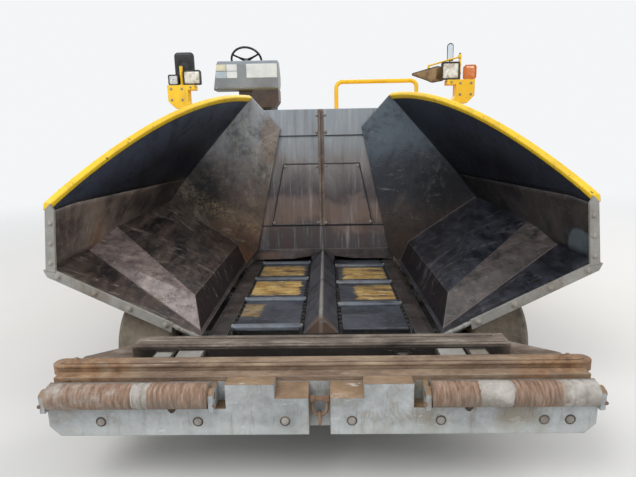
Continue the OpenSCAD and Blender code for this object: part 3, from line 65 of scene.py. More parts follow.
class Look:
    """One procedural material, built up by short calls. tone is its colour so far."""

    def __init__(self, name, rough=0.6, metal=0.0, specular=0.5):
        self.material = bpy.data.materials.new(name)
        self.material.use_nodes = True
        self.tree = self.material.node_tree
        self.shader = self.tree.nodes["Principled BSDF"]
        self.place = self.node("TexCoord", out="Object")
        self.tone = None
        for socket, value in (("Roughness", rough), ("Metallic", metal), ("Specular IOR Level", specular)):
            self.to(socket, value)

    def node(self, kind, inputs=(), out=0, **settings):
        """Output of a new node, with links or plain values put into its inputs."""
        made = self.tree.nodes.new("ShaderNode" + kind)
        for key, value in settings.items():
            setattr(made, key, value)
        for key, value in dict(inputs).items():
            self.put(value, made.inputs[key])
        return made.outputs[out]

    def put(self, value, socket):
        """A link where value is a socket, a colour where it is a code, and otherwise a plain value."""
        if isinstance(value, bpy.types.NodeSocket):
            self.tree.links.new(value, socket)
        else:
            socket.default_value = rgb(value) if isinstance(value, str) else value

    def to(self, name, value):
        self.put(value, self.shader.inputs[name])

    def mapped(self, **inputs):
        return self.node("Mapping", {"Vector": self.place, **inputs}, "Vector")

    def noise(self, scale, detail=5, rough=0.6, stretch=None, turn=(0, 0, 0), warp=0.0):
        place = self.place
        if stretch:
            place = self.mapped(Scale=stretch, Rotation=[math.radians(a) for a in turn])
        return self.node("TexNoise", {"Vector": place, "Scale": scale, "Detail": detail, "Roughness": rough,
                                      "Distortion": warp}, "Fac")

    def band(self, value, low, high):
        """0 below low, 1 above high, smooth between."""
        return self.node("MapRange", {"Value": value, "From Min": low, "From Max": high}, "Result",
                         interpolation_type="SMOOTHSTEP")

    def mask(self, low, high, *noise, **more):
        """Noise that is 0 below low and 1 above high."""
        return self.band(self.noise(*noise, **more), low, high)

    def maths(self, operation, a, b=0.0):
        return self.node("Math", {0: a, 1: b}, operation=operation)

    def times(self, a, b):
        return self.maths("MULTIPLY", a, b)

    def plus(self, a, b):
        return self.maths("ADD", a, b)

    def least(self, a, b):
        return self.maths("MINIMUM", a, b)

    def mix(self, amount, a, b):
        return self.node("Mix", {"Factor": amount, 6: a, 7: b}, 2, data_type="RGBA", blend_type="MIX")

    def tint(self, tone, mask, share=None):
        """Lays a tone over the colour so far, where the mask says and no more than share."""
        self.tone = self.mix(mask if share is None else self.times(mask, share), self.tone, tone)

    def ramp(self, value, places, tones):
        """Colour that runs through tones, a line of codes, at these places of value."""
        made = self.node("ValToRGB", {"Fac": value}, "Color")
        points = made.node.color_ramp.elements
        while len(points) < len(places):
            points.new(0.5)
        for point, at, tone in zip(points, places, tones.split()):
            point.position = at
            point.color = rgb(tone)
        return made

    def axis(self, which, size=False):
        """Place along an axis of the object, or how far from its middle."""
        along = self.node("SeparateXYZ", {"Vector": self.place}, which)
        return self.maths("ABSOLUTE", along) if size else along

    def facing(self, which):
        """Part of the surface's normal along an axis of the object."""
        return self.node("SeparateXYZ", {"Vector": self.node("TexCoord", out="Normal")}, which)

    def length(self, vector):
        return self.node("VectorMath", {0: vector}, "Value", operation="LENGTH")

    def spot(self, centre, size, soft=0.5, ragged=1.0):
        """1 inside an ellipsoid with a ragged border."""
        place = self.mapped(Scale=[1 / s for s in size], Location=[-c / s for c, s in zip(centre, size)])
        edge = self.plus(self.length(place), self.times(self.noise(9, 7, 0.75), ragged))
        return self.band(edge, 1 + ragged / 2, 1 + ragged / 2 - soft)

    def patch(self, x0, x1, y0, y1, ragged=0.09, soft=0.012):
        """Worn area with torn edges: x0 to x1 and y0 to y1, streaked along X."""
        wave = self.times(self.noise(9, 9, 0.8, (0.5, 2.2, 1)), 2 * ragged)
        inside = None
        for axis, low, high in ((0, x0, x1), (1, y0, y1)):
            at = self.plus(self.axis(axis), self.maths("SUBTRACT", wave, ragged))
            for edge, way in ((low, 1), (high, -1)):
                share = self.band(at, edge - way * soft, edge + way * soft)
                inside = share if inside is None else self.least(inside, share)
        return inside

    def radius(self, y, z):
        """Distance from an axis along X."""
        return self.length(self.mapped(Scale=(0, 1, 1), Location=(0, -y, -z)))

    def bump(self, height, depth, strength=0.8, under=None):
        inputs = {"Strength": strength, "Distance": depth, "Height": height}
        if under is not None:
            inputs["Normal"] = under
        return self.node("Bump", inputs, "Normal")

    def edges(self, radius, tone=None, share=0.5):
        """Rounded look of sharp edges, and how near a point is to one, which may get a tone."""
        soft = self.node("Bevel", {"Radius": radius}, "Normal", samples=4)
        inputs = {0: soft, 1: self.node("NewGeometry", out="Normal")}
        dot = self.node("VectorMath", inputs, "Value", operation="DOT_PRODUCT")
        near = self.band(self.maths("SUBTRACT", 1.0, dot), 0.02, 0.2)
        if tone:
            self.tint(tone, near, share)
        return soft, near

    def roughness(self, value, share, least):
        self.to("Roughness", self.plus(self.times(value, share), least))

    def done(self, height, depth, strength=0.8, under=None):
        """The material, with its colour and its bump in place."""
        self.to("Base Color", self.tone)
        self.to("Normal", self.bump(height, depth, strength, under))
        return self.material


# Materials
def worn_steel(name, dark, mid, light, brown, shine=0.45):
    """Bare plate worn by hot asphalt: dark film, brown heat stain, and bright scratches."""
    look = Look(name, specular=0.6)
    film = look.noise(2.2, 7, 0.62, warp=0.6)
    look.tone = look.ramp(film, (0.3, 0.52, 0.75), " ".join((dark, mid, light)))
    look.tint(brown, look.mask(0.45, 0.68, 3.1, 6, 0.7, (1.3, 1, 0.7)), 0.75)
    scratch = look.mask(0.56, 0.74, 9, 8, 0.75, (1, 1, 6), (20, 0, 35))
    look.tint(light, scratch, 0.35)
    look.tint(dark, look.mask(0.6, 0.75, 70, 3, 0.7), 0.35)
    soft, _ = look.edges(0.012, light, 0.55)
    look.roughness(film, 0.3, shine - 0.1)
    grain = look.plus(look.noise(55, 6, 0.75), look.times(scratch, 0.5))
    return look.done(grain, 0.0018, under=look.bump(look.noise(5, 2), 0.012, 0.5, soft))


def paint(name, colour, deep, chip="5b4a3a", dirt="6b5e4c", chips=0.64, dirty=0.5):
    """Sprayed enamel with chips along its edges, dull patches and dirt that runs down."""
    look = Look(name)
    look.tone = look.mix(look.mask(0.35, 0.7, 3, 6, 0.65), colour, deep)
    grime = look.mask(0.48, 0.8, 6, 7, 0.7, (1.5, 1.5, 0.35))
    look.tint(dirt, grime, dirty)
    soft, near = look.edges(0.006)
    worn = look.band(look.plus(look.noise(38, 6, 0.72), look.times(near, 0.16)), chips, chips + 0.03)
    look.tint(chip, worn)
    look.roughness(grime, 0.3, 0.42)
    return look.done(look.maths("SUBTRACT", look.times(look.noise(140, 2), 0.12), worn), 0.0006, 1, soft)


def rusty(name, tones, bare=0.62):
    """Rusted plate, flaked in patches, with grey steel where things rub."""
    look = Look(name, rough=0.85, specular=0.3)
    flake = look.noise(7, 9, 0.72, warp=0.4)
    look.tone = look.ramp(flake, (0.28, 0.5, 0.72), tones)
    soft, near = look.edges(0.006)
    rub = look.mask(bare, bare + 0.12, 4, 7, 0.75, (0.35, 1, 1))
    look.tint("8d8983", look.maths("MAXIMUM", rub, look.times(near, 0.6)), 0.8)
    return look.done(look.plus(flake, look.times(look.noise(90, 4, 0.8), 0.5)), 0.004, 0.9, soft)


def galvanised(name, pale, mid, stain, dirty=0.6):
    """Dull grey coat, scuffed, with mud and rust washed over it."""
    look = Look(name, rough=0.55)
    look.tone = look.ramp(look.noise(5, 8, 0.7), (0.3, 0.65), mid + " " + pale)
    look.tint(stain, look.mask(0.5, 0.72, 4.5, 8, 0.72, (1, 1, 0.5)), dirty)
    scratch = look.mask(0.62, 0.7, 16, 5, 0.7, (0.3, 1, 1.6), (0, 25, 0))
    look.tint(mid, scratch, 0.5)
    soft, _ = look.edges(0.005, stain, 0.4)
    return look.done(look.plus(look.noise(60, 5, 0.7), look.times(scratch, -0.6)), 0.0012, under=soft)


def rubber(name, dark, dust):
    """Tyre rubber with dry mud in its hollows."""
    look = Look(name, rough=0.85, specular=0.25)
    cover = look.mask(0.25, 0.65, 4, 8, 0.7)
    look.tone = look.mix(look.times(cover, 0.85), dark, dust)
    return look.done(look.plus(look.noise(60, 6, 0.75), cover), 0.0015)


def plain(name, colour, other, rough=0.5, metal=0.0, grain=120, depth=0.0004):
    """Moulded or machined surface with slight mottling."""
    look = Look(name, rough=rough, metal=metal)
    look.tone = look.mix(look.mask(0.35, 0.7, 9, 6, 0.65), colour, other)
    return look.done(look.noise(grain, 4, 0.6), depth, under=look.edges(0.004)[0])


def lens(name, rough, ribs, depth, colour=None):
    """Plastic lens with moulded ribs, or without a colour the dusty glass before a headlamp's bowl."""
    look = Look(name, rough=rough, specular=0.7)
    if colour:
        look.tone = colour
        look.to("Transmission Weight", 0.35)
    else:
        look.tone = look.ramp(look.noise(16, warp=0.8), (0.3, 0.45, 0.6, 0.75), "8a7f6c c9c3b4 e9e9e4 a39a88")
        look.to("Coat Weight", 0.6)
    wave = look.node("TexWave", {"Vector": look.place, "Scale": ribs}, "Fac", bands_direction="X")
    return look.done(wave, depth, 0.6)


def tinted_look():
    """Aged mirror glass with brown film and specks."""
    look = Look("mirror_film", rough=0.12, metal=0.55, specular=0.8)
    look.tone = look.ramp(look.noise(9, 7, 0.7, warp=0.5), (0.32, 0.5, 0.66), "3f3427 84694a a88b62")
    return look.done(look.noise(80, 4, 0.7), 0.0002, 0.5)


HOPPER = worn_steel("hopper_steel", "1d1a1c", "4c4443", "8b807b", "6a4f3c")
HOPPER_DARK = worn_steel("hopper_upper", "101319", "1e222b", "474a52", "3a2d27", 0.5)
CHAIN = worn_steel("chain_steel", "141414", "2b2a29", "5c5854", "3d2f26", 0.4)
FLIGHT = worn_steel("flight_steel", "3f444c", "6c737c", "99a1aa", "5b4c40", 0.4)
YELLOW = paint("yellow_enamel", "f5c926", "e8b71c")
YELLOW_WORN = paint("yellow_worn", "f4cc2c", "e6ba22", chips=0.62, dirty=0.45)
CHASSIS = paint("chassis_enamel", "35373a", "2a2b2d", "6a5a4a", "7d7264", dirty=0.8)
DARK_BODY = paint("dark_enamel", "3b3430", "2c2826", dirt="6e6254", dirty=0.6)
CONSOLE = paint("console_enamel", "aab4ba", "98a2a8", "6b6258", "7a7468", 0.7, 0.35)
CYLINDER = paint("cylinder_enamel", "4a4d50", "3d4043", dirty=0.6)
BAR_STEEL = rusty("bar_steel", "4a3f3a 7c6d64 a1958b")
RUST_DARK = rusty("rusted_dark", "2b2420 50463d 7b7168")
ROLLER = rusty("roller_rust", "56402f 7c604c 9a8370", 0.56)
ZINC_DARK = galvanised("galvanised_dark", "9c9a94", "7c7872", "66543f", 0.85)
BOLT = galvanised("bolt_steel", "a9a59d", "7b756c", "6f5540")
IRON = plain("cast_iron", "5c5d5e", "4a4b4c", 0.6, depth=0.001)
BLACK = plain("black_plastic", "1b1c1d", "262728", 0.45)
SEAT = plain("seat_vinyl", "1c1c1e", "28282a", 0.6, grain=260, depth=0.0008)
SEAT_PIPING = plain("seat_piping", "3a3a3c", "2c2c2e")
CHROME = plain("chromed_rod", "c9cccf", "b9bcbf", 0.12, 1.0, depth=0.0001)
MIRROR = plain("mirror_glass", "dfe6ea", "d5dde2", 0.03, 1.0, depth=0.00001)
CREAM = plain("cream_plate", "d9d4bd", "c3bda4", 0.4)
LABEL = plain("pale_plate", "dadfe2", "c5ccd1", 0.4)
BLUE_LABEL = plain("blue_plate", "b3c3cf", "a2b3c0", 0.4)
TYRE = rubber("tyre_rubber", "2a2928", "857b6b")
LENS = lens("lamp_lens", 0.12, 60, 0.0015, "e8ecef")
AMBER = lens("amber_lens", 0.12, 60, 0.0015, "e8862a")
HEADLAMP = lens("headlamp_glass", 0.18, 45, 0.002)
TINTED = tinted_look()


# Geometry
class Shape:
    """Collects solids into one mesh. Each call adds a closed form, and paint picks its material."""

    def __init__(self):
        self.points, self.faces, self.paints, self.smooth = [], [], [], []
        self.paint = 0

    def add(self, points, faces, smooth=False):
        base = len(self.points)
        self.points += [Vector(p) for p in points]
        self.hang(range(base, base + len(points)), faces, smooth)
        return range(base, len(self.points))

    def hang(self, members, faces, smooth=False):
        """Adds faces between points that are there already."""
        self.faces += [[members[i] for i in face] for face in faces]
        self.paints += [self.paint] * len(faces)
        self.smooth += [smooth] * len(faces)

    def move(self, members, matrix):
        for i in members:
            self.points[i] = matrix @ self.points[i]

    def box(self, low, high):
        corners = [(x, y, z) for x in (low[0], high[0]) for y in (low[1], high[1]) for z in (low[2], high[2])]
        return self.add(corners, [(0, 1, 3, 2), (4, 6, 7, 5), (0, 4, 5, 1), (2, 3, 7, 6), (0, 2, 6, 4),
                                  (1, 5, 7, 3)])

    def prism(self, outline, start, end, axis="y"):
        """Outline in the two other axes, in their order, drawn out along axis."""
        def at(p, w):
            return {"x": (w, p[0], p[1]), "y": (p[0], w, p[1]), "z": (p[0], p[1], w)}[axis]
        area = sum(a[0] * b[1] - b[0] * a[1] for a, b in zip(outline, outline[1:] + outline[:1]))
        if (area > 0) == (axis == "y"):
            outline = outline[::-1]
        return self.skin([[at(p, w) for p in outline] for w in (start, end)], False)

    def rod(self, start, end, radius, sides=20, tip=None, smooth=True):
        """Round bar or cone between two points."""
        start, end = Vector(start), Vector(end)
        turn = (end - start).to_track_quat("Z", "Y").to_matrix()
        ends = ((start, radius), (end, radius if tip is None else tip))
        return self.skin([[centre + turn @ Vector((r * math.cos(a), r * math.sin(a), 0))
                           for a in round_the(sides)] for centre, r in ends], smooth)

    def turned(self, profile, centre, axis="x", sides=48, closed=True):
        """Closed profile of (along, radius) points turned round an axis through centre."""
        n = len(profile)
        points = []
        for a in round_the(sides):
            c, s = math.cos(a), math.sin(a)
            for along, r in profile:
                points.append({"x": (along, r * c, r * s), "y": (r * s, along, r * c),
                               "z": (r * c, r * s, along)}[axis])
        faces = [(i * n + k, (i + 1) % sides * n + k, (i + 1) % sides * n + (k + 1) % n, i * n + (k + 1) % n)
                 for i in range(sides) for k in range(n if closed else n - 1)]
        return self.add([Vector(centre) + Vector(p) for p in points], faces, True)

    def tube(self, path, radius, sides=14, looped=False):
        """Round bar that follows a path of points."""
        path = [Vector(p) for p in path]
        n = len(path)
        rings = []
        up = None
        for i, p in enumerate(path):
            ahead = path[(i + 1) % n] if looped else path[min(i + 1, n - 1)]
            behind = path[i - 1] if looped or i else path[0]
            along = (ahead - behind).normalized()
            up = along.orthogonal().normalized() if up is None else (up - along * up.dot(along)).normalized()
            other = along.cross(up)
            rings.append([p + radius * (math.cos(a) * up + math.sin(a) * other) for a in round_the(sides)])
        return self.skin(rings, looped=looped)

    def skin(self, rings, smooth=True, looped=False):
        """Skin over rings of points: a closed ring of them, or one with flat ends."""
        n, count = len(rings[0]), len(rings)
        faces = [(i * n + k, i * n + (k + 1) % n, (i + 1) % count * n + (k + 1) % n, (i + 1) % count * n + k)
                 for i in range(count if looped else count - 1) for k in range(n)]
        members = self.add([p for ring in rings for p in ring], faces, smooth)
        if not looped:
            self.hang(members, [range(n)[::-1], range(-n, 0)])
        return members

    def hoop(self, outer, inner, start, end):
        """Frame between two outlines in X and Z, from start to end along Y."""
        lines = ((outer, start), (outer, end), (inner, end), (inner, start))
        return self.skin([[(x, y, z) for x, z in line] for line, y in lines], False, True)

    def bolt(self, at, towards, size=0.03, dome=False):
        """Bolt head of that width across its corners, on a washer."""
        at, towards = Vector(at), Vector(towards).normalized()
        self.rod(at - towards * 0.002, at + towards * 0.1 * size, size * 0.68, 16)
        if dome:
            for low, high, r0, r1 in ((0.1, 0.3, 0.5, 0.44), (0.3, 0.42, 0.44, 0.2)):
                self.rod(at + towards * low * size, at + towards * high * size, size * r0, 14, size * r1)
        else:
            self.rod(at + towards * 0.1 * size, at + towards * 0.42 * size, size * 0.5, 6, smooth=False)

    def bolts(self, places, towards, size, dome=False):
        for at in places:
            self.bolt(at, towards, size, dome)

    def bolt_ring(self, centre, radius, count, size, start=0.5, axis=0):
        """Bolts round a point, their heads along an axis."""
        for k in range(count):
            a = math.tau * (k + start) / count
            c, s = radius * math.cos(a), radius * math.sin(a)
            towards = Vector((0, 0, 0))
            towards[axis] = 1
            self.bolt(Vector(centre) + Vector((0, c, s) if axis == 0 else (c, s, 0)), towards, size)

    def bead(self, path, radius=0.004, seed=1):
        """Weld bead along a path of corners, uneven along its length."""
        chance = random.Random(seed)
        points = []
        for a, b in zip(path, path[1:]):
            a, b = Vector(a), Vector(b)
            steps = max(2, int((b - a).length / 0.02))
            points += [a.lerp(b, i / steps) + Vector([chance.uniform(-1, 1) * radius * 0.25] * 3)
                       for i in range(steps)]
        self.tube(points + [Vector(path[-1])], radius, 6)

    def piece(self, name, looks, body="chassis", bevel=0.003, slot=None, replaces=(), flip=False):
        """The finished object, riding on a body. flip makes it the other side's."""
        points = [(-p.x if flip else p.x, p.y, p.z) for p in self.points]
        mesh = bpy.data.meshes.new(name)
        mesh.from_pydata(points, [], [f[::-1] for f in self.faces] if flip else self.faces)
        for look in looks:
            mesh.materials.append(look)
        mesh.polygons.foreach_set("material_index", self.paints)
        mesh.polygons.foreach_set("use_smooth", self.smooth)
        mesh.update()
        made = placed(name, mesh)
        if bevel:
            cut = made.modifiers.new("bevel", "BEVEL")
            cut.width, cut.segments, cut.limit_method, cut.angle_limit = bevel, 2, "ANGLE", 0.7
            cut.harden_normals = False
        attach(made, body)
        if replaces:
            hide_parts(*replaces)
        return made


def placed(name, data):
    """A new object in the scene."""
    made = bpy.data.objects.new(name, data)
    bpy.context.scene.collection.objects.link(made)
    return made


def round_the(count):
    """Angles of evenly spaced points on a circle."""
    return [math.tau * i / count for i in range(count)]


def arc(centre, radius, start, end, steps):
    """Points of an arc in a plane, angles in degrees."""
    angles = [math.radians(start + (end - start) * i / steps) for i in range(steps + 1)]
    return [(centre[0] + radius * math.cos(a), centre[1] + radius * math.sin(a)) for a in angles]


def rounded(x0, x1, z0, z1, r, steps=5):
    """Outline of a box with rounded corners, running clockwise seen from the front."""
    r = max(r, 0.002)
    corners = (((x1 - r, z1 - r), 0), ((x0 + r, z1 - r), 90), ((x0 + r, z0 + r), 180),
               ((x1 - r, z0 + r), 270))
    return [p for centre, start in corners for p in arc(centre, r, start, start + 90, steps)][::-1]


def shrunk(line, by, centre):
    """The outline drawn in towards a point by a length."""
    centre = Vector(centre)
    return [tuple(centre + (Vector(p) - centre) * max(0.0, 1 - by / max((Vector(p) - centre).length, 1e-6)))
            for p in line]


# Camera, floor and light
CAMERA_AT = (0.045, -5.089, 1.534)
CAMERA_TURN = (("Z", 1.19), ("X", 90 - 11.89), ("Z", -1.04))
FOCAL_PX, FRAME_PX = 478, 636
BACKGROUND = (0.9, 0.915, 0.93, 1)
FLOOR_REACH = 60


def make_camera():
    data = bpy.data.cameras.new("camera")
    data.sensor_width = 36
    data.lens = 36 * FOCAL_PX / FRAME_PX
    camera = placed("camera", data)
    turn = Matrix.Identity(4)
    for axis, angle in CAMERA_TURN:
        turn = turn @ Matrix.Rotation(math.radians(angle), 4, axis)
    camera.matrix_world = Matrix.Translation(CAMERA_AT) @ turn
    bpy.context.scene.camera = camera


def make_floor():
    look = Look("pale_floor", rough=0.9, specular=0.1)
    look.to("Base Color", look.mix(look.noise(0.8, 4), "dedcd9", "d8d6d3"))
    # Far from the object, what the eye sees of it is the background's own tone
    tone = look.node("Emission", {"Color": BACKGROUND})
    seen = look.node("LightPath", out="Is Camera Ray")
    share = look.times(look.band(look.length(look.place), 3.2, 11), seen)
    blend = look.node("MixShader", {"Fac": share, 1: look.shader.outputs[0], 2: tone})
    look.put(blend, look.tree.nodes["Material Output"].inputs["Surface"])
    mesh = bpy.data.meshes.new("floor")
    corners = [(x * FLOOR_REACH, y * FLOOR_REACH, 0) for x, y in ((-1, -1), (1, -1), (1, 1), (-1, 1))]
    mesh.from_pydata(corners, [], [(0, 1, 2, 3)])
    mesh.materials.append(look.material)
    placed("floor", mesh)


def make_lights():
    world = bpy.data.worlds.new("studio")
    bpy.context.scene.world = world
    world.use_nodes = True
    tree = world.node_tree
    light = tree.nodes["Background"]
    light.inputs["Color"].default_value = (0.93, 0.96, 1.0, 1)
    light.inputs["Strength"].default_value = 0.75
    white = tree.nodes.new("ShaderNodeBackground")
    white.inputs["Color"].default_value = BACKGROUND
    path = tree.nodes.new("ShaderNodeLightPath")
    seen = path.outputs["Is Camera Ray"]
    for kind in ("Is Glossy Ray", "Is Transmission Ray"):
        either = tree.nodes.new("ShaderNodeMath")
        either.operation = "MAXIMUM"
        tree.links.new(seen, either.inputs[0])
        tree.links.new(path.outputs[kind], either.inputs[1])
        seen = either.outputs[0]
    mix = tree.nodes.new("ShaderNodeMixShader")
    surface = tree.nodes["World Output"].inputs[0]
    for start, end in ((seen, mix.inputs["Fac"]), (light.outputs[0], mix.inputs[1]),
                       (white.outputs[0], mix.inputs[2]), (mix.outputs[0], surface)):
        tree.links.new(start, end)
    for name, at, size, power in (("key", (-5, -8, 9), 6, 620), ("side", (8, -3, 7), 6, 330),
                                  ("back", (2, 9, 8), 7, 420)):
        data = bpy.data.lights.new(name, "AREA")
        data.size, data.energy = size, power
        lamp = placed(name, data)
        lamp.location = at
        lamp.rotation_euler = (Vector((0, 0, 0.8)) - Vector(at)).to_track_quat("-Z", "Y").to_euler()


# Hopper wings, drawn fully open with the hinge axis on the origin, then raised
HINGE = (0.7, 0.4)
WING_REST = math.radians(13)
RAISE = Matrix.Translation((HINGE[0], Y_HOP0, HINGE[1])) @ Matrix.Rotation(-WING_REST, 4, "Y")
WING_REACH = (0.863, 0.835)
WING_CREASE = ((0.9, 0.59), (0.644, 0.672))
WING_EDGE = ((0.9, 0.628), (0.205, 1.46))
EDGE_RISE = 0.168
WING_INNER = (-0.016, 0.064)
WING_SLOPE = math.tan(math.radians(13.7))
WING_PLATE = 0.012
LINER_PLATE = 0.008
HOUSE_FOOT = ((0.002, 0.046), (0.863, 0.425))
HOUSE_TOP = ((0.1, 0.2, 0.213), (0.874, 0.793, 0.383))
HOUSE_BACK = ((0.1, 0.213), (0.76, 0.469))
STRIP_BOLTS = (0.19, 0.4, 0.6, 0.81)
POST_BOLTS = (0.31, 0.42, 0.53)
RIBS = (0.27, 0.52, 0.77)
HINGES = (0.07, 0.8, HOPPER_LEN - 0.13)
CYL_TAB = (0.4257, 0.0659)
WALL_STEPS = 40
# Tones of each wing: house front and top, inner face, rear wall from low to high, wall low and high (high
# partly painted shade), soot with painted shade of the back corner, scratch colour, and the painted sheen
# that also colours the high wall's scratches
WING_TONES = {
    "r": {"front": "453b3a 8d7d78", "top": "1c1718 5f5149", "inner": "241d1e",
          "rear": "6f503c 746353 5d4f4a 7d7873 9a9da0", "low": "3f3634 8a7b6f", "high": "0a0c13 252935",
          "soot_and_shade": "0a0b13", "pale": "cbbfae", "painted_sheen": "566072"},
    "l": {"front": "2a2728 5d5551", "top": "0d0f17 3b3c45", "inner": "131117",
          "rear": "3d3029 40352f 20222b 2c323d 59656f", "low": "1e1c20 4c4642", "high": "0a0c13 21252f",
          "soot_and_shade": "05070d", "pale": "8d8b8b", "painted_sheen": "3d4653"}}


def mix(a, b, u):
    return a + (b - a) * u


def wing_floor_at(x):
    return WING_INNER[1] + (x - WING_INNER[0]) * WING_SLOPE


def raised(x, y, z):
    """A point of the wing in the machine's frame. y runs back from the hopper's front."""
    c, s = math.cos(WING_REST), math.sin(WING_REST)
    return Vector((HINGE[0] + x * c - z * s, Y_HOP0 + y, HINGE[1] + x * s + z * c))


def on_floor(x, y, over=0.0):
    return raised(x, y, wing_floor_at(x) + over)


def wall_corners(u):
    foot = mix(*WING_REACH, u)
    crease, edge = ([mix(start, end, u) for start, end in zip(*ends)] for ends in (WING_CREASE, WING_EDGE))
    edge[1] += 4 * EDGE_RISE * u * (1 - u)
    return Vector((foot, wing_floor_at(foot) - WING_PLATE)), Vector(crease), Vector(edge)


def wall_line(u, bend=0.09, steps=5):
    """Outline of the wall at u, from its foot over the softened crease to its edge."""
    foot, crease, edge = wall_corners(u)
    before = crease + (foot - crease).normalized() * bend
    after = crease + (edge - crease).normalized() * min(bend, (edge - crease).length * 0.45)
    line = [foot.lerp(before, i / 5) for i in range(5)]
    for i in range(steps + 1):
        t = i / steps
        line.append((1 - t) ** 2 * before + 2 * t * (1 - t) * crease + t * t * after)
    return line + [after.lerp(edge, i / 8) for i in range(1, 9)]


def sheet_solid(shape, grid, thickness, inner_paint, outer_paint):
    """Closed plate that follows a grid of points, thickened away from its front face."""
    rows, cols = len(grid), len(grid[0])

    def away(i, j):
        du = grid[min(i + 1, rows - 1)][j] - grid[max(i - 1, 0)][j]
        dv = grid[i][min(j + 1, cols - 1)] - grid[i][max(j - 1, 0)]
        return du.cross(dv).normalized()

    places = [(i, j) for i in range(rows) for j in range(cols)]
    n = rows * cols
    cells = [i * cols + j for i in range(rows - 1) for j in range(cols - 1)]
    rim = []
    for j in range(cols - 1):
        last = n - cols + j
        rim += [(j, n + j, n + j + 1, j + 1), (last, last + 1, n + last + 1, n + last)]
    for a in range(0, n - cols, cols):
        b, c, d = a + cols, a + cols - 1, a + 2 * cols - 1
        rim += [(a, b, n + b, n + a), (c, n + c, n + d, d)]
    shape.paint = inner_paint
    inner = [grid[i][j] for i, j in places]
    outer = [grid[i][j] + thickness * away(i, j) for i, j in places]
    members = shape.add(inner + outer, [(a, a + 1, a + cols + 1, a + cols) for a in cells], True)
    shape.paint = outer_paint
    shape.hang(members, [(n + a, n + a + cols, n + a + cols + 1, n + a + 1) for a in cells], True)
    shape.hang(members, rim)


def wing_shell():
    """Outer wall, dark inside and painted outside, with the thick yellow rim along its edge."""
    shape = Shape()
    shares = [i / WALL_STEPS for i in range(WALL_STEPS + 1)]
    grid = [[raised(p.x, HOPPER_LEN * u, p.y) for p in wall_line(u)] for u in shares]
    sheet_solid(shape, [row[:9] for row in grid], WING_PLATE, 0, 2)
    sheet_solid(shape, [row[8:] for row in grid], WING_PLATE, 1, 2)
    # Rounded rim, swept along the edge
    corners = (((-0.004, 0.0208), 0), ((-0.032, 0.0208), 90), ((-0.032, 0.0), 180), ((-0.004, 0.0), 270))
    profile = [p for centre, start in corners for p in arc(centre, 0.008, start, start + 90, 4)]
    rings = []
    for i in range(WALL_STEPS * 2 + 1):
        u = i / (WALL_STEPS * 2)
        _, crease, edge = wall_corners(u)
        along = (edge - crease).normalized()
        out = Vector((along.y, -along.x))
        line = [edge + along * a + out * b for a, b in profile]
        rings.append([raised(p.x, HOPPER_LEN * u, p.y) for p in line])
    shape.skin(rings)
    return shape


def thick_plate(shape, points, faces, thickness):
    """Four-cornered plates below their corners, counterclockwise seen from above and folded outward."""
    for face in faces:
        corners = [points[i] for i in face]
        if (corners[3] - corners[0]).dot((corners[1] - corners[0]).cross(corners[2] - corners[0])) > 0:
            corners = corners[1:] + corners[:1]
        normal = (corners[2] - corners[0]).cross(corners[3] - corners[1]).normalized()
        sides = [(i, 4 + i, 4 + (i + 1) % 4, (i + 1) % 4) for i in range(4)]
        shape.add(corners + [c - normal * thickness for c in corners],
                  [(0, 1, 2), (0, 2, 3), (6, 5, 4), (7, 6, 4)] + sides)


def wing_liner():
    """Floor, wheel house and rear wall of the wing."""
    shape = Shape()
    (foot_in, foot_in_y), (_, foot_out_y) = HOUSE_FOOT
    # Corners: foot front in, foot front out, foot back in, foot back out, then the top in the same order
    feet = HOUSE_FOOT + ((foot_in, HOPPER_LEN), (WING_REACH[1], HOPPER_LEN))
    tops = HOUSE_TOP + tuple((x, HOPPER_LEN, z) for x, z in HOUSE_BACK)
    points = [on_floor(x, y, -0.003) for x, y in feet] + [raised(*p) for p in tops]
    shape.paint = 1
    thick_plate(shape, points, [(0, 1, 5, 4)], LINER_PLATE)
    shape.paint = 0
    thick_plate(shape, points, [(4, 5, 7, 6), (2, 0, 4, 6)], LINER_PLATE)
    # Floor in front of the wheel house
    x0, x1, x2 = WING_INNER[0], foot_in + 0.012, WING_REACH[0] + 0.008
    corners = ((x0, -0.005), (x2, -0.005), (x2, foot_out_y + 0.01), (x1, foot_in_y + 0.01), (x1, HOPPER_LEN),
               (x0, HOPPER_LEN))
    thick_plate(shape, [on_floor(*p) for p in corners], [(0, 1, 2, 3), (0, 3, 4, 5)], WING_PLATE)
    # Rear wall
    foot = wall_corners(1)[0]
    wall = [(-0.08, 0.188), (-0.077, 1.27), (0.21, 1.468), (0.656, 0.672), (foot.x + WING_PLATE, foot.y),
            (WING_INNER[0] - 0.001, WING_INNER[1] - 0.017), (-0.017, 0.065)]
    shape.move(shape.prism(wall, HOPPER_LEN - 0.002, HOPPER_LEN + WING_PLATE), RAISE)
    return shape


def scratched(look, pale, dark, amount=0.5):
    """Streaks, scratches and specks of hot asphalt over a plate's colours."""
    long = None
    for share, *noise in ((0.5, 0.54, 0.68, 2.6, 9, 0.82, (0.7, 2.4, 0.5), (30, 12, 28), 0.9),
                          (0.8, 0.58, 0.66, 9, 8, 0.8, (0.35, 2.4, 1.1), (20, 35, 20), 0.5),
                          (0.6, 0.6, 0.67, 34, 6, 0.8, (0.5, 1, 1.6), (0, 30, 15))):
        streak = look.mask(*noise)
        long = streak if share == 0.8 else long
        look.tint(pale, streak, amount * share)
    film = look.mask(0.48, 0.68, 3.4, 8, 0.75, warp=0.5)
    look.tint(dark, film, 0.6)
    speck = look.mask(0.6, 0.7, 85, 3, 0.7)
    look.tint(dark, speck, 0.55)
    soft, _ = look.edges(0.007, pale, 0.3)
    look.roughness(film, 0.3, 0.34)
    grain = look.plus(look.noise(60, 6, 0.75), look.plus(long, speck))
    return look.done(grain, 0.0014, under=look.bump(look.noise(4, 3), 0.012, 0.6, soft))


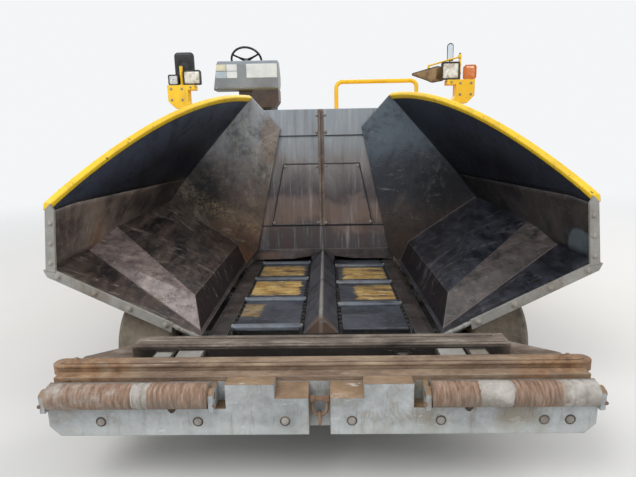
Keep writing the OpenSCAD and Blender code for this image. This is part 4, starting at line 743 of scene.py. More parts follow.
def liner_look(end, front=False):
    """Wheel house and rear wall: each face worn in its own way, with soot and painted shade in the rear
    wall's back corner. front is the house's front face.
    """
    tones = WING_TONES[end]
    s = 1 if end == "l" else -1
    look = Look(("liner_front_" if front else "liner_steel_") + end)
    face = look.ramp(look.noise(11, 8, 0.75), (0.35, 0.62), tones["front"])
    if not front:
        # Rear wall
        height = look.plus(look.axis(2), look.times(look.noise(4, 8, 0.75, warp=0.8), 0.5))
        look.tone = look.ramp(look.band(height, 0.75, 2.05), (0.02, 0.2, 0.42, 0.66, 0.9), tones["rear"])
        look.tint("6d594c" if end == "r" else "1b1c23", look.mask(0.5, 0.62, 6, 8, 0.75, warp=0.6), 0.5)
        look.tint("75604f", look.spot((-0.42, Y_HOP1, 1.5), (0.13, 0.3, 0.3)), 0.7)
        # Soot and painted shade in the back corner, where the outer wall meets the rear wall
        look.tint(tones["soot_and_shade"], look.spot((s * 1.02, Y_HOP1, 1.12), (0.34, 0.5, 0.46), 0.9), 0.92)
        if end == "r":
            rim = look.plus(look.axis(2), look.times(look.axis(0), 0.55))
            rim = look.plus(rim, look.times(look.noise(9, 8, 0.8), 0.12))
            belt = look.least(look.band(rim, 0.4, 0.47), look.band(rim, 0.62, 0.52))
            look.tint("a88f6c", look.times(belt, look.mask(0.46, 0.58, 42, 7, 0.8)), 0.6)
            worn = look.mask(0.48, 0.62, 14, 8, 0.8, (2.2, 1, 0.6), (0, 40, 0))
            look.tint("c3bfb6", look.times(look.spot((-0.72, Y_HOP1, 1.62), (0.22, 0.3, 0.24)), worn), 0.85)
        back = look.tone
    look.tone = face
    if not front:
        streaks = look.noise(4, 8, 0.75, (3, 0.8, 0.8), (0, 0, 24 * s), 0.3)
        look.tint(tones["inner"], look.band(look.maths("ABSOLUTE", look.facing(0)), 0.75, 0.9))
        look.tint(look.ramp(streaks, (0.42, 0.68), tones["top"]), look.band(look.facing(2), 0.74, 0.8))
        look.tint(back, look.band(look.axis(1), Y_HOP1 - 0.012, Y_HOP1 - 0.004))
    return scratched(look, tones["pale"], "131115", 0.6)


def wall_look(end, part):
    """Outer wall from the inside: blue-black in its high part, partly film and partly painted shade, with a
    painted sheen near the rim; scratched grey-brown in its low part. Soot and painted shade darken both
    towards the back corner.
    """
    tones = WING_TONES[end]
    look = Look("wall_%s_%s" % (part, end))
    # The high part's blue-black tones are partly film and partly painted shade
    look.tone = look.ramp(look.noise(3, 8, 0.68, warp=0.4), (0.36, 0.64), tones[part])
    if part == "low":
        # Soot and painted shade darken the low wall towards the back corner
        look.tint(tones["soot_and_shade"], look.band(look.axis(1), -1.95, -1.1), 0.85)
        if end == "r":
            look.tint("705138", look.spot((-1.38, -2.1, 0.8), (0.2, 0.13, 0.34)), 0.7)
        else:
            look.tint("59636a", look.spot((1.42, -2.45, 0.86), (0.2, 0.17, 0.16), 0.12, 0.25), 0.8)
        return scratched(look, tones["pale"], "161417", 0.42)
    # Nearness to the curved rim, as a height over a sloping line; a painted sheen lies along the rim
    over = look.maths("SUBTRACT", look.axis(2), look.times(look.axis(1), 0.408))
    over = look.plus(over, look.times(look.noise(4, 8, 0.75, (1, 0.4, 1)), 0.25))
    look.tint(tones["painted_sheen"], look.band(over, 2.12, 2.52), 0.55)
    s = 1 if end == "l" else -1
    # Soot and painted shade in the back corner
    look.tint(tones["soot_and_shade"], look.spot((s * 1.15, -1.35, 1.08), (0.4, 0.6, 0.3), 0.9), 0.85)
    # Scratches and edges in the painted sheen tone
    return scratched(look, tones["painted_sheen"], "0b0c12", 0.25)


def wing_back():
    """Ribs on the outer wall, hinge lugs, and the tab and pin of the cylinder."""
    shape = Shape()
    rise, foot_rise = 0.042 + WING_PLATE, 0.006
    for u in RIBS:
        foot, crease, edge = wall_corners(u)
        low, high = (crease - foot).normalized(), (edge - crease).normalized()
        out_low, out_high = (Vector((d.y, -d.x)) for d in (low, high))
        bend = (out_low + out_high).normalized()
        line = [foot + 0.03 * low + 0.005 * out_low, foot + 0.07 * low + rise * out_low, crease + rise * bend,
                edge - 0.11 * high + rise * out_high, edge - 0.07 * high + foot_rise * out_high,
                crease + 0.1 * high + foot_rise * out_high, crease + 0.003 * bend,
                crease - 0.1 * low + foot_rise * out_low]
        shape.prism(line, HOPPER_LEN * u - 0.005, HOPPER_LEN * u + 0.005)
    shape.paint = 1
    for y in HINGES:
        shape.rod((0, y - 0.025, 0), (0, y + 0.025, 0), 0.044, 36)
        shape.prism([(-0.04, 0.01), (-0.016, 0.056), (0.062, wing_floor_at(0.062) - 0.008), (0.044, 0)],
                    y - 0.025, y + 0.025)
    under = wing_floor_at(0.24)
    shape.prism([(0, 0.02), (0, 0.06), (0.24, under - 0.008), (0.24, under - 0.03), (0.044, 0)],
                HINGES[0] - 0.024, HINGES[0] + 0.024)
    x, z = CYL_TAB
    shape.prism([(x - 0.06, z + 0.16), (x + 0.06, z + 0.19)] + arc(CYL_TAB, 0.034, 0, -180, 12),
                HOPPER_LEN - 0.001, HOPPER_LEN + WING_PLATE - 0.001)
    for end, r in ((0.001, 0.014), (-0.164, 0.022)):
        shape.rod((x, HOPPER_LEN - 0.17, z), (x, HOPPER_LEN + end, z), r, 24)
    shape.move(range(len(shape.points)), RAISE)
    return shape


def wing_trim():
    """Bolted wear strips on the front edge, and weld beads where the plates meet."""
    shape = Shape()
    deep, reach = 0.055, WING_REACH[0]
    strip = [(x, wing_floor_at(at) + over) for x, at, over in
             ((0.15, 0.15, -deep), (0.15, 0.15, 0.001), (reach + 0.004, reach, 0.001),
              (reach + 0.03, reach, -0.02), (reach + 0.004, reach, -deep))]
    foot, _, edge = wall_corners(0)
    post = [(foot.x - 0.04, foot.y - 0.006), (foot.x + 0.014, foot.y - 0.006),
            (edge.x + 0.014, edge.y - 0.03), (edge.x - 0.01, edge.y + 0.004), (edge.x - 0.036, edge.y - 0.03)]
    for outline, front in ((strip, -0.013), (post, -0.016)):
        shape.move(shape.prism(outline, front, 0.001), RAISE)
    # Round bar and clamps between the strip and the hinge
    for x0, x1, r in ((-0.008, 0.154, 0.011), (0.02, 0.045, 0.0135), (0.11, 0.135, 0.0135)):
        shape.rod(on_floor(x0, -0.003, -0.015), on_floor(x1, -0.003, -0.015), r)
    shape.paint = 1
    shape.bolts([on_floor(x, -0.013, -0.026) for x in STRIP_BOLTS], (0, -1, 0), 0.03, True)
    across = [mix(foot.x, edge.x, (z - foot.y) / (edge.y - foot.y)) - 0.014 for z in POST_BOLTS]
    shape.bolts([raised(x, -0.016, z) for x, z in zip(across, POST_BOLTS)], (0, -1, 0), 0.024, True)
    shape.paint = 2
    low = [on_floor(x, y) for x, y in HOUSE_FOOT]
    top = [raised(*p) for p in HOUSE_TOP]
    back = [raised(x, HOPPER_LEN - 0.004, z) for x, z in HOUSE_BACK]
    for start, end, r, seed in ((*low, 0.005, 3), (low[1], top[1], 0.005, 4), (top[1], back[1], 0.004, 5),
                                (*back, 0.004, 6)):
        shape.bead([start, end], r, seed)
    return shape


def make_wings():
    for end, flip in SIDES:
        for made, name, looks, bevel, slot, replaces in (
                (wing_shell(), "shell", [wall_look(end, "low"), wall_look(end, "high"), YELLOW_WORN], 0,
                 "yellow_paint", ["wing_" + end]),
                (wing_liner(), "liner", [liner_look(end), liner_look(end, True)], 0.004, "rusty_steel", ()),
                (wing_trim(), "trim", [ZINC_DARK, BOLT, HOPPER], 0.002, "beam_steel", ()),
                (wing_back(), "back", [YELLOW_WORN, CHASSIS], 0.003, "yellow_paint", ())):
            made.piece("wing_%s_%s" % (name, end), looks, "wing_" + end, bevel, slot, replaces, flip)


# Push beam, rollers and front deck
ROLLER_AT = (Y_FACE + 0.004, 0.47)
ROLLER_ENDS = (0.473, 1.158)
ROLLER_R = 0.054
BEAM_BOLTS = ((-0.943, 0.352), (-0.523, 0.35), (-0.148, 0.35), (0.138, 0.35), (0.516, 0.35), (0.951, 0.35),
              (1.06, 0.35))
# For each roller, places along X with their share of rust, and its grooves
ROLLER_WEAR = {
    "l": (((0.47, 1), (0.66, 1), (0.675, 0), (0.8, 0), (0.815, 1), (0.93, 0.85), (1.03, 0.35), (1.05, 0),
           (1.16, 0)), (0.807, 1.05, 1.096)),
    "r": (((-1.16, 0.45), (-0.95, 0.55), (-0.86, 0.5), (-0.8, 0.7), (-0.78, 0), (-0.73, 0.05), (-0.715, 0.75),
           (-0.6, 1), (-0.46, 1)), (0.74, 0.775, 0.79))}


def roller_look(name, stops):
    """Rusted tube with bare bands."""
    look = Look(name, rough=0.75, specular=0.35)
    wavy = look.plus(look.axis(0), look.times(look.noise(9, 4), 0.05))
    first, last = stops[0][0], stops[-1][0]
    low, high = first + 0.025, last + 0.025
    along = look.node("MapRange", {"Value": wavy, "From Min": low, "From Max": high}, "Result")
    share = look.ramp(along, [(x - first) / (last - first) for x, _ in stops], "000000 " * len(stops))
    for point, (_, amount) in zip(share.node.color_ramp.elements, stops):
        point.color = (amount, amount, amount, 1)
    rings = look.noise(14, 7, 0.7, (6, 1, 1))
    rust = look.ramp(rings, (0.25, 0.45, 0.6, 0.75), "4f3a2e 7c614f 98806e a69c91")
    grey = look.ramp(look.noise(11, 8, 0.75), (0.3, 0.5, 0.7), "857d75 a8a29a c4c0b8")
    share = look.plus(share, look.times(look.noise(24, 6), 0.7))
    look.tone = look.mix(look.band(share, 0.6, 0.95), grey, rust)
    under = look.maths("SUBTRACT", 1.0, look.band(look.facing(2), -0.2, 0.75))
    look.tint("6f6a61", look.times(under, look.mask(0.38, 0.6, 5, 8, 0.75)), 0.6)
    return look.done(look.plus(rings, look.times(look.noise(90, 5, 0.75), 0.6)), 0.0012)


def make_rollers():
    r = ROLLER_R
    x0, x1 = ROLLER_ENDS
    for end, flip in SIDES:
        stops, grooves = ROLLER_WEAR[end]
        shape = Shape()
        profile = [(x0, 0.02), (x0, r - 0.004), (x0 + 0.004, r)]
        for g in grooves:
            profile += [(g - 0.006, r), (g - 0.003, r - 0.004), (g + 0.003, r - 0.004), (g + 0.006, r)]
        shape.turned(profile + [(x1 - 0.004, r), (x1, r - 0.004), (x1, 0.02)], (0, *ROLLER_AT), "x", 56)
        shape.paint = 1
        for start, stop, radius, sides in ((x0 - 0.027, x1 + 0.04, 0.0149, 24),
                                           (x0 - 0.0035, x0 + 0.0025, 0.034, 28),
                                           (x1 - 0.0025, x1 + 0.0035, 0.034, 28)):
            shape.rod((start, *ROLLER_AT), (stop, *ROLLER_AT), radius, sides)
        looks = [roller_look("roller_bands_" + end, stops), ROLLER]
        shape.piece("roller_tube_" + end, looks, "push_roller_" + end, 0.0015, "rusty_steel",
                    ["push_roller_" + end], flip)


def beam_look():
    """Zinc-grey beam: clean on its faces, brown on its tops."""
    look = Look("beam_coat", rough=0.5)
    cloud = look.noise(6, 8, 0.72)
    look.tone = look.ramp(cloud, (0.3, 0.48, 0.68), "777978 989b9b b3b7b8")
    look.tint("857b69", look.mask(0.47, 0.62, 3.5, 9, 0.8, (1, 1, 0.6), warp=0.4), 0.75)
    look.tint("6d6354", look.mask(0.53, 0.66, 13, 8, 0.75, (2.4, 1, 0.35)), 0.55)
    low = look.plus(look.axis(2), look.times(look.noise(9, 8, 0.75), 0.09))
    look.tint("c3c8c5", look.band(low, 0.4, 0.35), 0.35)
    top = look.ramp(look.noise(9, 7, 0.7, (0.5, 1, 1)), (0.3, 0.5, 0.7), "5d4a37 84694d a28c70")
    look.tint(top, look.band(look.facing(2), 0.2, 0.6))
    look.tint("dfe3e3", look.mask(0.6, 0.68, 22, 6, 0.75, (0.35, 1, 1.3), (0, 15, 0)), 0.45)
    soft, _ = look.edges(0.005, "5e4c3b")
    return look.done(look.plus(look.noise(45, 5, 0.7), look.times(cloud, 1.5)), 0.0016, under=soft)


def make_beam_trim():
    shape = Shape()

    def stud(x, z, start, end, radius, sides, tip=None, paint=0):
        shape.paint = paint
        shape.rod((x, Y_FACE + start, z), (x, Y_FACE + end, z), radius, sides, tip, sides > 6)

    for x, z in BEAM_BOLTS:
        stud(x, z, 0, -0.0015, 0.023, 24, paint=1)
        stud(x, z, 0, -0.006, 0.0165, 24, 0.015)
        stud(x, z, -0.006, -0.008, 0.009, 6)
    for s in (-1, 1):
        stud(s * 0.633, 0.402, -0.0012, 0.03, 0.012, 20, paint=1)
        # Cotters where the roller's shaft leaves its brackets
        for x in (ROLLER_ENDS[1] + 0.03, ROLLER_ENDS[0] - 0.03):
            stud(s * x, 0.44, -0.03, -0.02, 0.008, 10, paint=2)
    shape.piece("beam_bolts", [BOLT, RUST_DARK, ROLLER], "chassis", 0.001, "beam_steel")


def deck_look():
    """Rusted plates, browner at the corners, with near-black painted shade between the two bars below their
    tops.
    """
    look = Look("deck_rust", rough=0.8, specular=0.3)
    flake = look.noise(9, 9, 0.75, (0.4, 1, 1), warp=0.3)
    look.tone = look.ramp(flake, (0.3, 0.48, 0.66), "54433a 7f6a58 a39078")
    corner = look.band(look.axis(0, True), 0.8, 0.95)
    rust = look.ramp(look.noise(12, 8, 0.78), (0.35, 0.52, 0.68), "684a34 8f6e50 ab9074")
    look.tint(rust, corner, look.mask(0.4, 0.58, 4, 8, 0.75))
    look.tint(look.ramp(flake, (0.32, 0.5, 0.68), "3a3531 6a615a 989086"),
              look.band(look.axis(1), Y_FACE + 0.3, Y_FACE + 0.32), 0.8)
    # Painted shade: near black in the recess between the front and rear bars, below their tops
    shade_between_bars = look.band(look.axis(1), Y_FACE + 0.205, Y_FACE + 0.22)
    shade_between_bars = look.least(shade_between_bars, look.band(look.axis(2), 0.54, 0.53))
    look.tint("1f1c1b", look.least(shade_between_bars, look.band(look.axis(0, True), 0.95, 0.85)), 0.9)
    look.tint("bdb5a8", look.mask(0.6, 0.68, 24, 6, 0.75, (0.15, 1, 1)), 0.55)
    soft, _ = look.edges(0.006, "9b948b")
    return look.done(look.plus(flake, look.noise(90, 4, 0.8)), 0.002, under=soft)


def make_deck(look):
    """Rolled lips and strips on the deck's bars, stop blocks and bolts at the corners."""
    front0, front1, rear0, rear1 = (Y_FACE + y for y in (0.135, 0.215, 0.325, 0.445))
    shape = Shape()
    for half, y, z, r, sides in ((1.188, front0 + 0.004, 0.541, 0.0085, 12),
                                 (0.9, rear0 + 0.002, 0.5485, 0.007, 10)):
        shape.tube([(-half, y, z), (half, y, z)], r, sides)
    for half, y0, y1, z0, z1 in ((1.168, front0 + 0.018, front0 + 0.058, 0.5445, 0.5505),
                                 (0.9, rear0 + 0.012, rear0 + 0.05, 0.5495, 0.557),
                                 (0.86, rear1 - 0.035, rear1 - 0.008, 0.5495, 0.556)):
        shape.box((-half, y0, z0), (half, y1, z1))
    for s in (-1, 1):
        shape.paint = 1
        for x, half, y0, y1, z in ((0.625, 0.06, 0.03, 0.01, 0.5315), (0.752, 0.04, 0.04, 0.02, 0.529)):
            shape.box((s * x - half, front1 + y0, 0.5245), (s * x + half, rear0 - y1, z))
        shape.paint = 0
        corner = ((1.175, 0.165), (1.15, 0.185), (1.13, 0.2))
        shape.bolts([(s * x, Y_FACE + y, 0.545) for x, y in corner], (0, 0, 1), 0.022)
        shape.bolt((s * 1.1, Y_FACE + 0.26, 0.485), (0, 0, 1))
        shape.bead([(s * 0.92, Y_FACE + 0.2, 0.4865), (s * 1.16, Y_FACE + 0.2, 0.4865)], 0.004, 8)
    shape.piece("deck_trim", [look, ZINC_DARK], "chassis", 0.002, "rusty_steel")


# Bulkhead with its hatches
HATCH = ((0.022, 0.79), (0.438, 0.79), (0.322, 1.318), (0.022, 1.318))


def bulkhead_look():
    """Pale worn plate above, a dark heat stain across the hatches and copper brown below it."""
    look = Look("bulkhead_plate", specular=0.6)
    height = look.plus(look.axis(2), look.times(look.noise(2.6, 6, 0.62, warp=0.8), 0.5))
    height = look.node("MapRange", {"Value": height, "From Min": 0.75, "From Max": 2.05}, "Result")
    look.tone = look.ramp(height, (0.0, 0.17, 0.24, 0.36, 0.42, 0.5, 0.62, 0.8, 1.0),
                          "474144 544c4d 7a665b 72625c 484144 625c5d 827d7b 92979b 8f979d")
    streak = look.noise(7, 7, 0.72, (3.2, 1, 0.25))
    look.tint("c9cbcb", look.band(streak, 0.5, 0.75), 0.4)
    look.tint("5b4436", look.band(streak, 0.5, 0.3), 0.45)
    scratch = look.mask(0.63, 0.72, 13, 9, 0.8, (1, 1, 0.45), (0, 32, 0), 0.5)
    look.tint("c8c0b6", scratch, 0.5)
    soft, _ = look.edges(0.006, "403632")
    look.roughness(streak, 0.35, 0.22)
    under = look.bump(look.noise(4, 3), 0.01, 0.5, soft)
    return look.done(look.plus(look.noise(60, 5, 0.7), scratch), 0.001, 0.7, under)


def make_bulkhead(look):
    shape = Shape()
    front = Y_BULK - 0.006
    for s in (-1, 1):
        shape.paint = 0
        shape.prism([(s * x, z) for x, z in HATCH], front - 0.002, front + 0.004)
        # Raised seams round the hatch and above it
        shape.paint = 1
        shape.bead([(s * x, front - 0.002, z) for x, z in HATCH], 0.005, 11 + s)
        shape.tube([(s * 0.03, front, 1.5535), (s * 0.36, front, 1.5535)], 0.0045, 8)
        shape.paint = 3
        for x, z in ((0.312, 1.298), (0.424, 0.81)):
            shape.bolt((s * x, front - 0.002, z), (0, -1, 0), 0.02, True)
    shape.paint = 0
    shape.box((-0.44, front + 0.001, 1.5535), (0.44, front + 0.007, 1.768))
    shape.paint = 1
    shape.tube([(-0.58, front + 0.003, 0.782), (0.58, front + 0.003, 0.782)], 0.005, 8)
    # Angle iron in the middle
    shape.paint = 2
    iron = ((-0.024, -0.006), (-0.024, 0.004), (0.024, 0.004), (0.024, -0.002), (-0.006, -0.002),
            (-0.006, -0.03), (-0.014, -0.03), (-0.014, -0.006))
    shape.prism([(x, front + y) for x, y in iron], 0.785, 1.768, "z")
    shape.paint = 3
    beside = ((-0.033, 1.722), (0.033, 1.722), (-0.037, 1.582), (0.037, 1.582), (-0.04, 1.297), (0.038, 1.3),
              (-0.036, 0.808), (0.034, 0.806))
    shape.bolts([(x, front - 0.001, z) for x, z in beside], (0, -1, 0), 0.02, True)
    shape.piece("bulkhead_plates", [look, HOPPER_DARK, BAR_STEEL, BOLT], "chassis", 0.002, "worn_steel")


# Hopper floor, conveyors and flow gates
FLIGHT_STARTS = {"l": Y_HOP0, "r": Y_HOP0 + 0.111}
FLIGHT_GAP = 0.48
CHAIN_X = (0.114, 0.516)
CHAIN_Y = (Y_HOP0 + 0.085, 1.84)
CHAIN_Z, CHAIN_R, CHAIN_GAP = 0.357, 0.089, 0.0635
WHEEL_TEETH = 18


def floor_look():
    """Pans polished dark, worn to ochre where the mix drops, with a pale ridge on the divider."""
    look = Look("pan_steel", specular=0.6)
    look.tone = look.ramp(look.noise(4, 8, 0.7, warp=0.5), (0.35, 0.6), "25282d 4a4e56")
    for *place, share in ((-0.5, -0.15, -1.4, -1.12, 0.95), (-0.52, -0.16, -1.88, -1.56, 1.0),
                          (0.17, 0.5, -1.52, -1.2, 1.0), (0.24, 0.52, -2.0, -1.68, 0.95),
                          (-0.54, -0.38, -2.3, -2.08, 0.45)):
        worn = look.times(look.patch(*place), share)
        holes = look.mask(0.62, 0.5, 10, 9, 0.82, (0.4, 1.8, 1))
        ochre = look.noise(16, 8, 0.78, (0.5, 1.6, 1))
        look.tint(look.ramp(ochre, (0.32, 0.46, 0.62), "6e5230 b98f4c e3c887"), worn, holes)
    ridge = look.axis(0, True)
    look.tint(look.ramp(look.noise(8, 7, 0.7), (0.35, 0.6), "2f2f34 55555b"), look.band(ridge, 0.102, 0.098))
    look.tint("a9a49d", look.band(ridge, 0.016, 0.004), 0.9)
    look.tint(look.ramp(look.noise(7, 7, 0.7), (0.35, 0.62), "231e1c 4a423e"), look.band(ridge, 0.527, 0.53))
    look.tint("6f5743", look.spot((0, Y_HOP0, 0.49), (0.13, 0.12, 0.1)), 0.7)
    return scratched(look, "9aa0aa", "15161a", 0.4)


def gate_look():
    look = Look("gate_steel")
    look.tone = look.ramp(look.noise(5, 8, 0.7, warp=0.4), (0.35, 0.55, 0.72), "3b3434 5c5251 7d7270")
    look.tint("8a6f5f", look.spot((-0.5, -0.96, 0.5), (0.2, 0.1, 0.06)), 0.6)
    look.tint("1c1a1d", look.band(look.axis(0, True), 0.5, 0.6), 0.7)
    return scratched(look, "a39a92", "1d1a1c", 0.5)


def chain_path():
    """Points of the chain's loop at equal steps, each with the direction along it."""
    (y0, y1), r = CHAIN_Y, CHAIN_R
    run, turn = y1 - y0, math.pi * r
    count = round((2 * run + 2 * turn) / CHAIN_GAP)
    for i in range(count):
        s = (2 * run + 2 * turn) * i / count
        if s < run:
            yield y0 + s, CHAIN_Z + r, 0
        elif run + turn <= s < 2 * run + turn:
            yield y1 - (s - run - turn), CHAIN_Z - r, -math.pi
        else:
            end, a = (y1, (s - run) / r) if s < run + turn else (y0, math.pi + (s - 2 * run - turn) / r)
            yield end + r * math.sin(a), CHAIN_Z + r * math.cos(a), -a


def make_conveyors():
    """Four strands of link chain on toothed wheels, and the flights bolted to them."""
    half = ((-0.01, -0.006), (-0.0085, -0.0108), (CHAIN_GAP, -0.0108), (CHAIN_GAP + 0.01, -0.004))
    link = list(half) + [(along, -up) for along, up in half[::-1]]
    teeth = [(a, 0.092 if i % 4 in (1, 2) else 0.08) for i, a in enumerate(round_the(4 * WHEEL_TEETH))]
    for end, _ in SIDES:
        s = 1 if end == "l" else -1
        shape = Shape()
        for x in CHAIN_X:
            for k, (y, z, a) in enumerate(chain_path()):
                at = Matrix.Translation((s * x, y, z)) @ Matrix.Rotation(a, 4, "X")
                wide = 0.0095 if k % 2 else 0.0062
                for w in (-wide, wide - 0.003):
                    shape.move(shape.prism(link, w, w + 0.003, "x"), at)
                shape.move(shape.rod((-0.0062, 0, 0), (0.0062, 0, 0), 0.0085, 10), at)
            for y in CHAIN_Y:
                wheel = [(y + r * math.cos(a), CHAIN_Z + r * math.sin(a)) for a, r in teeth]
                shape.prism(wheel, s * x - 0.004, s * x + 0.004, "x")
        for y in CHAIN_Y:
            shape.rod((s * 0.104, y, CHAIN_Z), (s * 0.6, y, CHAIN_Z), 0.025, 28)
        y = FLIGHT_STARTS[end]
        while y < CHAIN_Y[1] - 0.06:
            for z in (0.4573, 0.242) if y > CHAIN_Y[0] else ():
                low, high = sorted((s * 0.129, s * 0.501))
                shape.paint = 1
                bar = arc((low, y), 0.025, 90, 270, 10) + arc((high, y), 0.025, -90, 90, 10)
                shape.prism(bar, z, z + 0.0148, "z")
                shape.paint = 2
                for x in CHAIN_X:
                    shape.rod((s * x, y, z + 0.0144), (s * x, y, z + 0.0205), 0.0075, 6, smooth=False)
            y += FLIGHT_GAP
        shape.piece("conveyor_" + end, [CHAIN, FLIGHT, BOLT], "chassis", 0.0015, "chain_black",
                    ["conveyors"] if end == "l" else ())


# Lamps, mirrors and posts on the hood's front corners
SHELF = 1.99
POST_FACE = Y_BAY0 + 0.05
MIRROR_Y = Y_BAY0 + 0.13
HALF = 1.15


def stacked(line_at, stops):
    """Rings of an outline in X and Z at places along Y, each drawn in by its inset."""
    return [[(x, y, z) for x, z in line_at(inset)] for y, inset in stops]


def lamp_unit(shape, x, high, deep, r, housing, glass, bezel=0.011):
    """Housing with a bezel and a domed lens, on a foot and between two pivot bolts."""
    z = (SHELF, SHELF + high)
    y = POST_FACE

    def line(inset):
        return rounded(x[0] + inset, x[1] - inset, z[0] + inset, z[1] - inset, r - inset * 0.5)

    shape.paint = housing
    shape.skin(stacked(line, ((y - 0.008, 0.001), (y + deep * 0.45, 0.001), (y + deep * 0.85, 0.012),
                              (y + deep, 0.024))))
    shape.hoop(line(0.0), line(bezel), y - 0.0178, y - 0.007)
    shape.paint = glass
    shape.skin(stacked(line, ((y - 0.0082, bezel - 0.001), (y - 0.0125, bezel), (y - 0.0155, bezel + 0.012),
                              (y - 0.0168, bezel + 0.026), (y - 0.0172, bezel + 0.036))))
    shape.paint = 0
    middle = (x[0] + x[1]) / 2
    shape.box((middle - 0.014, y + 0.004, SHELF - 0.004), (middle + 0.014, y + 0.03, SHELF + 0.012))
    for s in (-1, 1):
        shape.bolt((middle + s * 0.5 * (x[1] - x[0] - 0.012), y + 0.012, (z[0] + z[1]) / 2), (s, 0, 0), 0.012)


def make_lamps():
    shape = Shape()
    for x0, x1, *rest in ((-HALF - 0.004, -HALF + 0.146, 0.12, 0.046, 0.014, 0, 1),
                          (HALF - 0.138, HALF + 0.012, 0.142, 0.046, 0.012, 0, 1),
                          (-HALF - 0.13, -HALF - 0.044, 0.086, 0.05, 0.014, 0, 2, 0.008),
                          (HALF + 0.045, HALF + 0.15, 0.116, 0.04, 0.022, 3, 3, 0.006)):
        lamp_unit(shape, (x0, x1), *rest)
    shape.piece("lamp_units", [BLACK, HEADLAMP, LENS, AMBER], "chassis", 0.0012, "lamp_glass", ["lamps"])


def make_mirrors():
    y = MIRROR_Y
    shape = Shape()
    # Square one: its back, with a round recess
    x0, x1, z0, z1 = -HALF - 0.09, -HALF + 0.079, SHELF + 0.012, SHELF + 0.274
    shape.skin(stacked(lambda i: rounded(x0 + i, x1 - i, z0 + i, z1 - i, 0.032 - i * 0.5),
                       ((y - 0.0005, 0.001), (y - 0.012, 0.0), (y - 0.021, 0.006), (y - 0.026, 0.02))))
    middle = ((x0 + x1) / 2, y - 0.026, (z0 + z1) / 2 + 0.02)
    for r, tall in ((0.062, 0.0022), (0.044, 0.0034)):
        ring = [(0.001, r - 0.005), (-tall, r - 0.004), (-tall, r + 0.001), (0.001, r + 0.003)]
        shape.turned(ring, middle, "y")
    shape.rod((-HALF - 0.01, y - 0.016, SHELF - 0.001), (-HALF - 0.01, y - 0.016, SHELF + 0.03), 0.0108)
    # Leaf shaped one on the other side, its glass turned to the hopper
    heart = (HALF - 0.185, SHELF + 0.056)
    leaf = []
    for x, z, r, *turn in ((0.356, 0.06, 0.0115, 110, 250, 8), (0.185, 0.062, 0.0735, 235, 290, 10),
                           (0.15, 0.054, 0.0695, -50, 105, 16)):
        leaf += arc((HALF - x, SHELF + z), r, *turn)
    leaf.reverse()
    low = y + 0.0015
    for paint_no, stops in ((0, ((0.024, 0.004), (0.008, 0.0), (0, 0.001), (0, 0.006), (0.004, 0.007))),
                            (1, ((0.0045, 0.006), (0.0035, 0.0065), (0.0018, 0.03), (0.001, 0.055)))):
        shape.paint = paint_no
        shape.skin(stacked(lambda i: shrunk(leaf, i, heart), [(low + at, i) for at, i in stops]))
    # Slim one
    shape.paint = 0
    heart = (HALF - 0.05, SHELF + 0.24)
    slim = (arc((HALF - 0.05, SHELF + 0.277), 0.0265, -10, 190, 16)
            + [(HALF - 0.0735, SHELF + 0.161), (HALF - 0.0245, SHELF + 0.161)])[::-1]
    shape.hoop(slim, shrunk(slim, 0.007, heart), y - 0.0058, y + 0.0078)
    shape.paint = 3
    shape.prism(shrunk(slim, 0.0065, heart), y - 0.003, y + 0.005)
    # Pole with its arm, sockets and knob
    shape.paint = 2
    pole, elbow = Vector((HALF + 0.03, y - 0.014, SHELF)), Vector((HALF - 0.226, y + 0.013, SHELF + 0.127))
    stalk = Vector((HALF - 0.05, y + 0.001, SHELF))
    for foot, z0, z1, r in ((pole, -0.001, 0.212, 0.0108), (pole, 0.05, 0.07, 0.0135),
                            (pole, 0.12, 0.14, 0.0135), (pole, 0.178, 0.208, 0.014),
                            (elbow, -0.035, 0.008, 0.0088), (stalk, 0.155, 0.185, 0.008)):
        shape.rod(foot + Vector((0, 0, z0)), foot + Vector((0, 0, z1)), r)
    top = pole + Vector((0, 0, 0.191))
    shape.tube([top, top.lerp(elbow, 0.5), elbow], 0.0068)
    shape.paint = 0
    shape.rod(pole + Vector((0, 0, 0.21)), pole + Vector((0, 0, 0.222)), 0.0105, tip=0.006)
    shape.piece("mirror_units", [BLACK, TINTED, YELLOW, MIRROR], "chassis", 0.0008, "mirror_black",
                ["mirrors"])


def make_post_trim():
    """Bolts on the lamp posts and the tube rail, and the hood's seams and lifting eyes."""
    shape = Shape()
    for s in (-1, 1):
        for x, y, z, size in ((0.02, -0.02, -0.03, 0.016), (0.11, -0.02, -0.03, 0.016),
                              (0.11, -0.02, -0.12, 0.016), (0.02, -0.02, -0.12, 0.016),
                              (-0.055, -0.02, -0.02, 0.014), (-0.03, 0.022, 1.7 - SHELF, 0.018)):
            shape.bolt((s * (HALF + x), POST_FACE + y, SHELF + z), (0, -1, 0), size)
    for x in (0.15, 0.94):
        shape.bolt_ring((x, Y_BAY0 + 0.78, 1.65), 0.033, 4, 0.012, axis=2)
    shape.paint = 1
    for x in (-0.84, 0.84):
        shape.tube([(x, Y_BAY0 + 0.03, 1.6395), (x, Y_BAY1 - 0.03, 1.6395)], 0.003, 6)
    for x in (-0.95, 0.99):
        for y in (Y_BAY0 + 0.2, Y_BAY1 - 0.2):
            shape.tube([(x + 0.03 * math.cos(a), y, 1.638 + 0.045 * math.sin(a)) for a in round_the(20)[:11]],
                       0.007, 10)
    shape.piece("hood_trim", [BOLT, CHASSIS], "chassis", 0.0008, "yellow_paint")


# Console and steering wheel
CONSOLE_X = (-1.16, -0.465)
CONSOLE_TOP = 2.35
CONSOLE_Y = Y_BAY1 + 0.16
STEER_TURN = Matrix.Translation((-0.84, CONSOLE_Y + 0.165, CONSOLE_TOP + 0.05)) \
    @ Matrix.Rotation(math.radians(-46), 4, "X")


